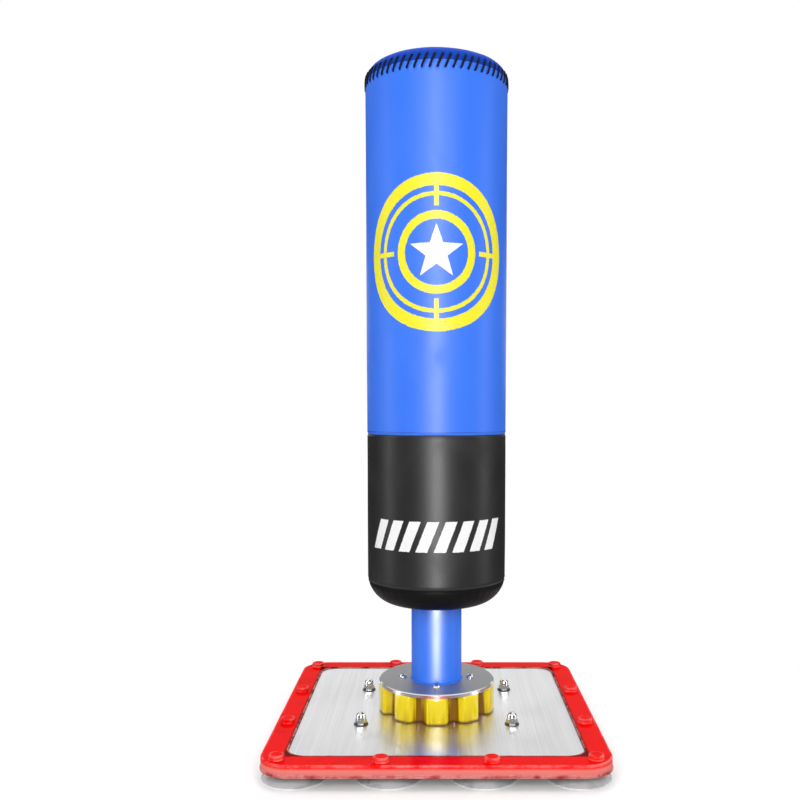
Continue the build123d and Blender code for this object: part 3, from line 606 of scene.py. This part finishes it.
# %% Suction cups
cup_rubber, tree, shader = finish("cup_rubber", (0.5, 0.5, 0.5), 0.25, Coat_Weight=0.3, Coat_Roughness=0.1)
marks = use_group(tree, smudge, Scale=30.0)
paint(tree, shader, mix_colors(tree, marks["Smudge"], (0.70, 0.71, 0.72), (0.52, 0.53, 0.54)))
roughen(tree, shader, marks["Dust"], 0.2, 0.4)
ripple = speckle(tree, 120.0, 2.0)
raise_surface(tree, shader, ripple, 0.0003, 0.4)

# %% Brushed deck
deck_steel, tree, shader = finish("brushed_deck", (0.76, 0.76, 0.77), 0.26, Metallic=1.0)
streaks = use_group(tree, brushing, Across=1500.0, Along=5.0)
marks = use_group(tree, smudge, Scale=7.0)
tone = calc(tree, "MULTIPLY_ADD", streaks["Streak"], 0.65, calc(tree, "MULTIPLY", streaks["Broad"], 0.35))
steel = mix_colors(tree, ramp(tree, tone, 0.3, 0.7), (0.74, 0.74, 0.75), (0.94, 0.94, 0.95))
paint(tree, shader, steel)
rough = ramp(tree, calc(tree, "MULTIPLY_ADD", marks["Smudge"], 0.3, tone), 0.2, 1.1, 0.28, 0.46)
tree.links.new(rough, shader["Roughness"])
raise_surface(tree, shader, streaks["Streak"], 0.00004, 0.5)


# %% Turned and plated metal
def plated(name, color, roughness, metallic=1.0):
    """Plated steel with smudges and fine pitting."""
    material, tree, shader = finish(name, color, roughness, Metallic=metallic)
    marks = use_group(tree, smudge, Scale=60.0)
    worn = calc(tree, "MULTIPLY", marks["Smudge"], 0.6)
    paint(tree, shader, mix_colors(tree, worn, color, scaled(color, 0.7)))
    roughen(tree, shader, marks["Smudge"], roughness, roughness + 0.15)
    pits = speckle(tree, 900.0, 2.0)
    raise_surface(tree, shader, pits, 0.00004, 0.4)
    return material


chrome = plated("bright_fastener", (0.88, 0.88, 0.90), 0.06)
zinc = plated("zinc_fastener", (0.55, 0.55, 0.56), 0.32)
zinc_sheet = plated("zinc_plate", (0.42, 0.43, 0.44), 0.4)

flange_steel, tree, shader = finish("turned_flange", (0.5, 0.5, 0.5), 0.3, Metallic=1.0)
out = use_group(tree, around, Radius=0.1)["Out"]
grooves = calc(tree, "SINE", calc(tree, "MULTIPLY", out, tau / 0.0009))
rim_share = ramp(tree, out, flange_high.x - 0.0022, flange_high.x - 0.0014)
grit = speckle(tree, 700.0, 3.0)
face_tone = mix_colors(tree, grit, (0.28, 0.28, 0.285), (0.44, 0.44, 0.45))
paint(tree, shader, mix_colors(tree, rim_share, face_tone, (0.86, 0.86, 0.88)))
roughen(tree, shader, rim_share, 0.46, 0.14)
raise_surface(tree, shader, calc(tree, "MULTIPLY_ADD", grit, 0.5, grooves), 0.00003, 0.5)

# %% Foam and board, which are inside the bag
foam, tree, shader = finish("closed_cell_foam", (0.80, 0.80, 0.78), 0.85)
bubbles = put(tree, "ShaderNodeTexVoronoi", {"Vector": object_place(tree), "Scale": 900.0})
tone = mix_colors(tree, bubbles.outputs["Distance"], (0.70, 0.70, 0.68), (0.88, 0.88, 0.86))
paint(tree, shader, tone)
raise_surface(tree, shader, bubbles.outputs["Distance"], 0.0004)
board, tree, shader = finish("plywood", (0.52, 0.37, 0.22), 0.6)
rings_of = {"Vector": object_place(tree), "Scale": 60.0, "Distortion": 6.0, "Detail": 3.0}
rings = put(tree, "ShaderNodeTexWave", rings_of).outputs["Fac"]
paint(tree, shader, mix_colors(tree, rings, (0.42, 0.28, 0.15), (0.60, 0.44, 0.27)))

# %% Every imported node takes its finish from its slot
slot_finish = {
    "black_moulding": black_plastic,
    "red_moulding": red_plastic,
    "grey_moulding": grey_plastic,
    "white_bush": white_plastic,
    "brushed_deck": deck_steel,
    "zinc_plate": zinc_sheet,
    "zinc_fastener": zinc,
    "bright_fastener": chrome,
    "polished_flange": flange_steel,
    "blue_paint": blue_paint,
    "amber_rubber": amber_rubber,
    "cup_rubber": cup_rubber,
    "foam": foam,
    "board": board,
    "blue_leather": blue_fabric,
    "crown_leather": shaded_crown_fabric,
    "black_leather": black_fabric,
    "navy_lace": lace,
}
for entry in frame["record"]["subparts"]:
    mesh = nodes[entry["node"]].data
    mesh.materials.clear()
    mesh.materials.append(slot_finish[entry["material_slot"]])
print("finishes:", len(slot_finish))

# %% [markdown]
# ## The cover's panels
#
# Each panel of the real cover is a strip of coated fabric, pulled tight over foam and sewn to the
# next one. Turning an outline round the post's axis gives its shape, and then a few quiet moves of
# its vertices give what tight fabric does: it sinks at a seam, dimples at a stitch hole, swells
# between two stitches and is never quite even.


# %% Turned panels
stitch_count = 60
stitch_slant = radians(4.4)
stitch_below, stitch_above = 14 * MM, 13 * MM
panel_steps = 8 * stitch_count
fabric_thickness = 2.4 * MM
shoulder_bend = 32 * MM
crown_rise = crown_z - shoulder_z
shoulder_centre = shoulder_radius - shoulder_bend
crown_bend = (shoulder_centre**2 + crown_rise**2 - shoulder_bend**2) / (2 * (crown_rise - shoulder_bend))
shoulder_turn = atan2(crown_bend - crown_rise, shoulder_centre)
upright_axis = {"cent": (0, 0, 0), "axis": (0, 0, 1), "dvec": (0, 0, 0)}


def face_out(shape):
    """Turns every face outward."""
    bmesh.ops.recalc_face_normals(shape, faces=shape.faces[:])


def spin_full(shape, steps):
    """Turns everything in the shape once round the axis, into a closed ring."""
    everything = shape.verts[:] + shape.edges[:]
    bmesh.ops.spin(shape, geom=everything, steps=steps, use_merge=True, angle=tau, **upright_axis)
    bmesh.ops.remove_doubles(shape, verts=shape.verts[:], dist=1e-6)
    face_out(shape)


def spin_copies(shape, geometry, count):
    """Fills a ring round the axis with copies of some geometry, count in all."""
    turn = tau * (count - 1) / count
    bmesh.ops.spin(shape, geom=geometry, steps=count - 1, use_duplicate=True, angle=turn, **upright_axis)


def settle(piece, body, slot_name, *replaced):
    """Smooths a piece, puts it on its body and hides the model's pieces that it replaces; its slot is not
    used.
    """
    piece.data.shade_smooth()
    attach(piece, body)
    if replaced:
        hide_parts(*replaced)
    print(piece.name, "faces:", len(piece.data.polygons))


def turned_panel(name, outline, move, material, slot_name, replaced):
    """Turns a closed outline of (radius, height) points round the axis, and moves its outer skin."""

    def make(shape):
        points = [shape.verts.new((radius, 0, height)) for radius, height in outline]
        for first, second in zip(points, points[1:] + points[:1]):
            if first.co.x > 0 or second.co.x > 0:
                shape.edges.new((first, second))
        spin_full(shape, panel_steps)
        for vertex in shape.verts:
            out = vertex.co.xy.length
            angle = atan2(vertex.co.y, vertex.co.x)
            vertex.co += move(vertex.co, out, angle)

    piece = new_piece(make, name, [material])
    settle(piece, "bag", slot_name, replaced)


def outward(angle, amount):
    """A move straight away from the axis."""
    return Vector((cos(angle) * amount, sin(angle) * amount, 0))


def unevenness(point, angle):
    """Slow swells of the padding under the cover, under a millimetre high."""
    around_axis = Vector((cos(angle) * 1.3, sin(angle) * 1.3, point.z * 3.0))
    fine_axis = Vector((cos(angle) * 4.0, sin(angle) * 4.0, point.z * 9.0 + 7.0))
    return 0.7 * MM * noise.noise(around_axis) + 0.25 * MM * noise.noise(fine_axis)


def near(distance, reach):
    """1 at no distance, and fading to nothing past reach."""
    return exp(-((distance / reach) ** 2))


def hole_dimple(angle, rise):
    """How deep the cover is pulled in near the lacing's holes, and how it swells between stitches."""
    pitch = tau / stitch_count
    dimple = 0.0
    for end, level in ((-1, -stitch_below), (1, stitch_above)):
        step = (angle + pi / 2 - end * stitch_slant / 2) / pitch - 0.5
        off = (step - round(step)) * pitch * shoulder_radius
        dimple += 1.5 * MM * near(sqrt(off**2 + (rise - level) ** 2), 3.2 * MM)
    step = (angle + pi / 2 - stitch_slant * rise / (stitch_below + stitch_above)) / pitch - 0.5
    off = abs(step - round(step))
    swell = 0.9 * MM * (off - 0.25) * 2 * near(rise, stitch_below)
    return swell - dimple


def spaced(low, high, end_step, end_length, middle_step):
    """Heights from low to high, close together near both ends."""
    count_end = max(1, round(end_length / end_step))
    count_middle = max(1, round((high - low - 2 * end_length) / middle_step))
    lows = [low + end_length * i / count_end for i in range(count_end)]
    middle_length = high - low - 2 * end_length
    middles = [low + end_length + middle_length * i / count_middle for i in range(count_middle)]
    highs = [high - end_length + end_length * i / count_end for i in range(count_end + 1)]
    return lows + middles + highs


# %% Blue side panel, from the waist seam to the shoulder
def blue_move(point, out, angle):
    if out < side_radius(point.z) - 0.5 * fabric_thickness:
        return Vector()
    sink = 1.3 * MM * near(point.z - waist_z, 3.0 * MM) + 1.2 * MM * near(point.z - shoulder_z, 8.0 * MM)
    return outward(angle, unevenness(point, angle) - sink + hole_dimple(angle, point.z - shoulder_z))


heights = spaced(waist_z, shoulder_z, 1.6 * MM, 26 * MM, 24 * MM)
outline = [(side_radius(z), z) for z in heights]
outline += [(side_radius(z) - fabric_thickness, z) for z in (shoulder_z, waist_z)]
turned_panel("blue_side_panel", outline, blue_move, blue_fabric, "blue_leather", "cover_upper")


# %% Crown panel
def crown_outline(depth, steps):
    """Points of the crown from the shoulder to the middle, depth inside the cover's outside."""
    points = []
    for i in range(steps + 1):
        turn_now = shoulder_turn * i / steps
        bend = shoulder_bend - depth
        points.append((shoulder_centre + bend * cos(turn_now), shoulder_z + bend * sin(turn_now)))
    for i in range(1, steps + 1):
        turn_now = shoulder_turn + (pi / 2 - shoulder_turn) * i / steps
        bend = crown_bend - depth
        points.append((max(0.0, bend * cos(turn_now)), crown_z - crown_bend + bend * sin(turn_now)))
    points[-1] = (0.0, points[-1][1])
    return points


def crown_move(point, out, angle):
    if out < 1e-5:
        return Vector()
    rise = point.z - shoulder_z
    bend = shoulder_bend if out > shoulder_centre else crown_bend
    centre = Vector((0, 0, crown_z - crown_bend))
    if out > shoulder_centre:
        centre = Vector((cos(angle) * shoulder_centre, sin(angle) * shoulder_centre, shoulder_z))
    if (point - centre).length < bend - 0.5 * fabric_thickness:
        return Vector()
    normal = (point - centre).normalized()
    sink = 1.2 * MM * near(rise, 8.0 * MM)
    share = min(1.0, out / shoulder_centre)
    return normal * (share * unevenness(point, angle) - sink + hole_dimple(angle, rise) * share**6)


outline = crown_outline(0, 22) + crown_outline(fabric_thickness, 8)[::-1]
turned_panel("crown_panel", outline, crown_move, shaded_crown_fabric, "crown_leather", "cover_top_panel")

# %% Black side panel and the turned-in bottom
bottom_bend = (side_radius(bag_bottom_z) - bottom_flat) / (1 - side_slope)
bend_z = bag_bottom_z + bottom_bend
bend_centre = bottom_flat
seam_turn = asin((bend_z - bottom_seam_z) / bottom_bend)


def bend_points(depth, first, last, steps):
    """Points round the bend at the bottom, between two turns below the side."""
    turns = [first + (last - first) * i / steps for i in range(steps + 1)]
    bend = bottom_bend - depth
    return [(bend_centre + bend * cos(turn_now), bend_z - bend * sin(turn_now)) for turn_now in turns]


def black_move(point, out, angle):
    skin = side_radius(point.z)
    if point.z < bend_z:
        skin = bend_centre + sqrt(bottom_bend**2 - (bend_z - point.z) ** 2)
    if out < skin - 0.5 * fabric_thickness:
        return Vector()
    sink = 1.3 * MM * near(point.z - waist_z, 3.0 * MM) + 1.2 * MM * near(point.z - bottom_seam_z, 3.5 * MM)
    return outward(angle, unevenness(point, angle) - sink)


heights = spaced(bend_z, waist_z, 1.6 * MM, 12 * MM, 24 * MM)
outline = bend_points(0, seam_turn, 0, 8)[:-1] + [(side_radius(z), z) for z in heights]
outline += [(side_radius(waist_z) - fabric_thickness, waist_z)]
outline += bend_points(fabric_thickness, 0, seam_turn, 3)
turned_panel("black_side_panel", outline, black_move, printed_black, "black_leather", "cover_lower")


def bottom_move(point, out, angle):
    pleats = 0.2 * MM * cos(angle * 48) * near(point.z - bottom_seam_z + 9 * MM, 14 * MM)
    sink = 1.2 * MM * near(point.z - bottom_seam_z, 3.5 * MM)
    return outward(angle, pleats - sink) if out > bend_centre else Vector()


hem_radius = post_radius + 5 * MM
outline = bend_points(0, seam_turn, pi / 2, 22) + [(hem_radius, bag_bottom_z)]
outline += [(hem_radius, bag_bottom_z + fabric_thickness)]
outline += bend_points(fabric_thickness, pi / 2, seam_turn, 8)
turned_panel("bottom_panel", outline, bottom_move, black_fabric, "black_leather", "cover_bottom_panel")

# %% [markdown]
# ## Lacing
#
# One stitch is a flat lace that comes out of the side panel, leans over the shoulder and goes into
# the crown. Its rows of points are swept along the stitch, and copies of it round the axis make the
# ring of sixty.


# %% One stitch, and the ring of them
lace_half_width, lace_half_thickness = 2.2 * MM, 1.3 * MM
stitch_rows, stitch_sides = 22, 10
first_turn = -pi / 2 + pi / stitch_count


def cover_point(turn, rise, outset):
    """A point outset above the cover, at a turn round the axis and a rise above the shoulder."""
    lean = min(shoulder_turn, max(0.0, rise) / shoulder_bend)
    radius = shoulder_centre + (shoulder_bend + outset) * cos(lean)
    height = shoulder_z + min(0.0, rise) + (shoulder_bend + outset) * sin(lean)
    return Vector((radius * cos(turn), radius * sin(turn), height))


def stitch_point(along, outset):
    """A point of the stitch's middle line, along from -1 at the lower hole to 1 at the upper one."""
    rise = along * (stitch_above if along > 0 else stitch_below)
    return cover_point(first_turn + along * stitch_slant / 2, rise, outset)


def lacing_mesh(shape):
    """A flat lace swept along one stitch, and its copies round the axis."""
    rows = []
    for i in range(stitch_rows + 1):
        along = -1.14 + 2.28 * i / stitch_rows
        dive = max(0.0, abs(along) - 0.86) / 0.28
        centre = stitch_point(along, 0.9 * MM - 4.6 * MM * dive**1.6)
        out = (stitch_point(along, MM) - stitch_point(along, 0)).normalized()
        forward = (stitch_point(along + 0.02, 0) - stitch_point(along - 0.02, 0)).normalized()
        side = forward.cross(out).normalized()
        narrow = 1 - 0.35 * min(1.0, dive)
        row = []
        for j in range(stitch_sides):
            turn = tau * j / stitch_sides
            across, high = cos(turn) * lace_half_width * narrow, sin(turn) * lace_half_thickness
            row.append(shape.verts.new(centre + side * across + out * high))
        rows.append(row)
    for first, second in zip(rows, rows[1:]):
        for j in range(stitch_sides):
            k = (j + 1) % stitch_sides
            shape.faces.new((first[j], first[k], second[k], second[j]))
    shape.faces.new(rows[0])
    shape.faces.new(rows[-1][::-1])
    stitch = shape.verts[:] + shape.edges[:] + shape.faces[:]
    spin_copies(shape, stitch, stitch_count)
    face_out(shape)


lacing = new_piece(lacing_mesh, "shoulder_lacing", [lace])
settle(lacing, "bag", "navy_lace", "top_lacing")

# %% [markdown]
# ## Seams
#
# Two rows of thread hold the waist seam and one holds the bottom seam. A stitch is a tiny long
# bead, pressed half into the fabric. The strip at the back covers the upright seam.


# %% Thread beads in a ring
bead_count, bead_length, bead_thickness = 176, 3.4 * MM, 0.5 * MM


def bead_ring(shape, radius, height):
    """A ring of long beads that lie round the axis, a little sunk in the fabric."""
    size = Matrix.Diagonal((bead_thickness, bead_length / 2, bead_thickness, 1))
    radius -= 0.1 * MM
    made = bmesh.ops.create_uvsphere(
        shape, u_segments=6, v_segments=4, radius=1, matrix=Matrix.Translation((radius, 0, height)) @ size
    )
    ring = made["verts"]
    faces = list({face for vertex in ring for face in vertex.link_faces})
    ring_edges = list({edge for vertex in ring for edge in vertex.link_edges})
    spin_copies(shape, ring + ring_edges + faces, bead_count)


def waist_thread(shape):
    for level in (waist_z - 5.5 * MM, waist_z + 5.5 * MM):
        bead_ring(shape, side_radius(level), level)


def bottom_thread(shape):
    level = bottom_seam_z + 7 * MM
    radius = bend_centre + sqrt(bottom_bend**2 - max(0.0, bend_z - level) ** 2)
    bead_ring(shape, radius, level)


for name, make in (("waist_stitches", waist_thread), ("bottom_stitches", bottom_thread)):
    settle(new_piece(make, name, [black_thread]), "bag", "black_leather")

# %% Piping in the bottom seam, and binding round the hem where the post comes out
def round_ring(shape, radius, height, thickness, ripple, ripples):
    """A ring turned from a small circle, with a slight ripple round it."""
    upright = Matrix.Translation((radius, 0, height)) @ Matrix.Rotation(pi / 2, 4, "X")
    bmesh.ops.create_circle(shape, segments=12, radius=thickness, matrix=upright)
    spin_full(shape, 240)
    for vertex in shape.verts:
        angle = atan2(vertex.co.y, vertex.co.x)
        vertex.co += outward(angle, ripple * sin(angle * ripples))


def piping_mesh(shape):
    radius = bend_centre + bottom_bend * cos(seam_turn)
    round_ring(shape, radius - 1.3 * MM, bottom_seam_z, 1.7 * MM, 0.15 * MM, 48)


def binding_mesh(shape):
    round_ring(shape, hem_radius + 0.6 * MM, bag_bottom_z + 2.7 * MM, 2.6 * MM, 0.3 * MM, 40)


piping = new_piece(piping_mesh, "bottom_seam_piping", [black_fabric])
settle(piping, "bag", "black_leather", "bottom_piping")
settle(new_piece(binding_mesh, "hem_binding", [black_fabric]), "bag", "black_leather")

# %% Strip over the upright seam at the back, with a row of thread down each side
strip_low, strip_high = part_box("back_seam_strip")
strip_half = (strip_high.x - strip_low.x) / 2
strip_thickness = 1.3 * MM


def strip_mesh(shape, low, high):
    """A long grid laid on the back, its long edges turned down, then thickened."""
    bmesh.ops.create_grid(shape, x_segments=12, y_segments=80, size=0.5)
    for vertex in shape.verts:
        z = low + (vertex.co.y + 0.5) * (high - low)
        across = vertex.co.x * 2
        turn = pi / 2 - across * strip_half / side_radius(z)
        crown = 1.1 * MM * (1 - across**6) + 0.15 * MM * noise.noise(Vector((across, 0, z * 40)))
        vertex.co = Vector((0, 0, z)) + outward(turn, side_radius(z) + crown)
    face_out(shape)
    bmesh.ops.solidify(shape, geom=shape.faces[:], thickness=strip_thickness)
    face_out(shape)


def strip_thread(shape, low, high):
    """Two rows of long beads, one down each side of the strip."""
    pitch, inset = 5.0 * MM, 3.5 * MM
    size = Matrix.Diagonal((0.5 * MM, 0.5 * MM, 1.7 * MM, 1))
    for side in (-1, 1):
        for i in range(int((high - low) / pitch)):
            z = low + (i + 0.5) * pitch
            turn = pi / 2 + side * (strip_half - inset) / side_radius(z)
            place = Matrix.Translation(Vector((0, 0, z)) + outward(turn, side_radius(z) + 1.0 * MM))
            bmesh.ops.create_uvsphere(shape, u_segments=6, v_segments=4, radius=1, matrix=place @ size)


for part, low, high, fabric, thread, slot_name in (
    ("upper", waist_z, strip_high.z, blue_fabric, blue_thread, "blue_leather"),
    ("lower", strip_low.z, waist_z, black_fabric, black_thread, "black_leather"),
):
    strip = new_piece(lambda shape: strip_mesh(shape, low, high), "back_strip_" + part, [fabric])
    rows_name = "back_strip_stitches_" + part
    rows = new_piece(lambda shape: strip_thread(shape, low, high), rows_name, [thread])
    settle(strip, "bag", slot_name, "back_seam_strip")
    settle(rows, "bag", slot_name)

# %% [markdown]
# ## The rubber damper
#
# The post can lean in any direction. The damper is in two halves: the lower one from the base to the
# middle of the damper, and the upper one from there to the post. Each half is a ring of lobes with
# rounded hollows between them, made in layers. Out of sight, a recess in the lower half leaves room
# for the upper inserts, which dip when the post leans.

# %% Two halves
damper_middle = (damper_low.z + damper_high.z) / 2
bore_radius = 42 * MM
lobe_count, lobe_columns = 10, 48
lobe_half, hollow_half = 15 * MM, 33 * MM
edge_round = 2.2 * MM
bend_layers = 8
sway = radians(8)
insert_low, insert_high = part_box("damper_upper_inserts")
insert_dip = insert_high.x * sin(sway) - (insert_low.z - damper_middle) + 1 * MM
recess_radius = insert_high.x + 6 * MM
print("hidden recess in the lower half:", round(insert_dip * 1000, 1), "mm deep")


def lobe_radius(angle):
    """Outside radius of the damper: a lobe faces the front, and rounded hollows part the lobes."""
    pitch = tau / lobe_count
    turns = (angle + pi / 2) / pitch
    arc = abs(turns - round(turns)) * pitch * lobe_tip
    share = min(1.0, max(0.0, (arc - lobe_half) / (hollow_half - lobe_half)))
    return lobe_tip - (lobe_tip - lobe_valley) * share * share * (3 - 2 * share)


def damper_half(name, low, high):
    """The damper between two heights, as a ring of lobes in layers."""

    def make(shape):
        levels = [low + (high - low) * i / bend_layers for i in range(bend_layers + 1)]
        rounding = [edge_round * (1 - cos(radians(step))) for step in (22, 45, 68)]
        if low <= damper_low.z:
            levels[1:1] = [low + part for part in rounding]
        else:
            levels[-1:-1] = [high - part for part in rounding[::-1]]
        columns = []
        for i in range(lobe_count * lobe_columns):
            angle = tau * i / (lobe_count * lobe_columns)
            column = []
            for z in levels:
                from_end = min(edge_round, z - damper_low.z, damper_high.z - z)
                inset = edge_round - sqrt(max(0.0, edge_round**2 - (edge_round - from_end) ** 2))
                place = outward(angle, lobe_radius(angle) - inset) + Vector((0, 0, z))
                column.append(shape.verts.new(place))
            inside = [(bore_radius, z) for z in levels[::-1]]
            if high < damper_high.z:
                floor_z = high - insert_dip
                inside = [(recess_radius, high), (recess_radius, floor_z), (bore_radius, floor_z)]
                inside += [(bore_radius, z) for z in levels[::-1] if z < floor_z - 0.5 * MM]
            for radius, z in inside:
                column.append(shape.verts.new(outward(angle, radius) + Vector((0, 0, z))))
            columns.append(column)
        for first, second in zip(columns, columns[1:] + columns[:1]):
            for j in range(len(first)):
                shape.faces.new((first[j - 1], first[j], second[j], second[j - 1]))
        face_out(shape)

    piece = new_piece(make, name, [amber_rubber])
    piece.data.shade_smooth()
    piece.data.set_sharp_from_angle(angle=radians(50))
    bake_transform(piece)
    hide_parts("damper_block")
    print(name, "faces:", len(piece.data.polygons))


damper_half("damper_lower_half", damper_low.z, damper_middle)
damper_half("damper_upper_half", damper_middle, damper_high.z)

# %% Weld between the post and its flange
weld_size = 2.5 * MM


def weld_ring(shape):
    """A fillet of weld, turned round the post, with the ripples that a welder leaves."""
    corner = [(0, 0), (weld_size, 0), (weld_size * 0.55, weld_size * 0.4), (0, weld_size)]
    foot_radius, foot_z = post_radius - 0.2 * MM, flange_high.z - 0.2 * MM
    points = [shape.verts.new((foot_radius + x, 0, foot_z + z)) for x, z in corner]
    for first, second in zip(points, points[1:] + points[:1]):
        shape.edges.new((first, second))
    spin_full(shape, 288)
    for vertex in shape.verts:
        angle = atan2(vertex.co.y, vertex.co.x)
        if vertex.co.xy.length > post_radius + 0.5 * MM:
            vertex.co += outward(angle, 0.3 * MM * sin(angle * 72))


weld = new_piece(weld_ring, "post_weld", [blue_paint])
settle(weld, "post", "blue_paint")

# %% Dark rubber seats under the deck's cap nuts, a little wider than the nuts, put there as painted shade round each nut
shade_ring_low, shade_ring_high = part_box("deck_washers")
shade_ring_radius, shade_ring_height = 14 * MM, shade_ring_high.z - shade_ring_low.z
shade_ring_x, shade_ring_y = shade_ring_high.x - 12 * MM, shade_ring_high.y - 12 * MM


def shade_rings_mesh(shape):
    for x, y in ((shade_ring_x, shade_ring_y), (-shade_ring_x, shade_ring_y), (-shade_ring_x, -shade_ring_y), (shade_ring_x, -shade_ring_y)):
        place = Matrix.Translation((x, y, shade_ring_low.z + shade_ring_height / 2))
        radii = {"radius1": shade_ring_radius, "radius2": shade_ring_radius - 0.6 * MM}
        bmesh.ops.create_cone(
            shape, cap_ends=True, segments=48, depth=shade_ring_height, matrix=place, **radii
        )


shade_rings = new_piece(shade_rings_mesh, "nut_shade_rings", [black_plastic])
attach(shade_rings, "base")
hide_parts("deck_washers")
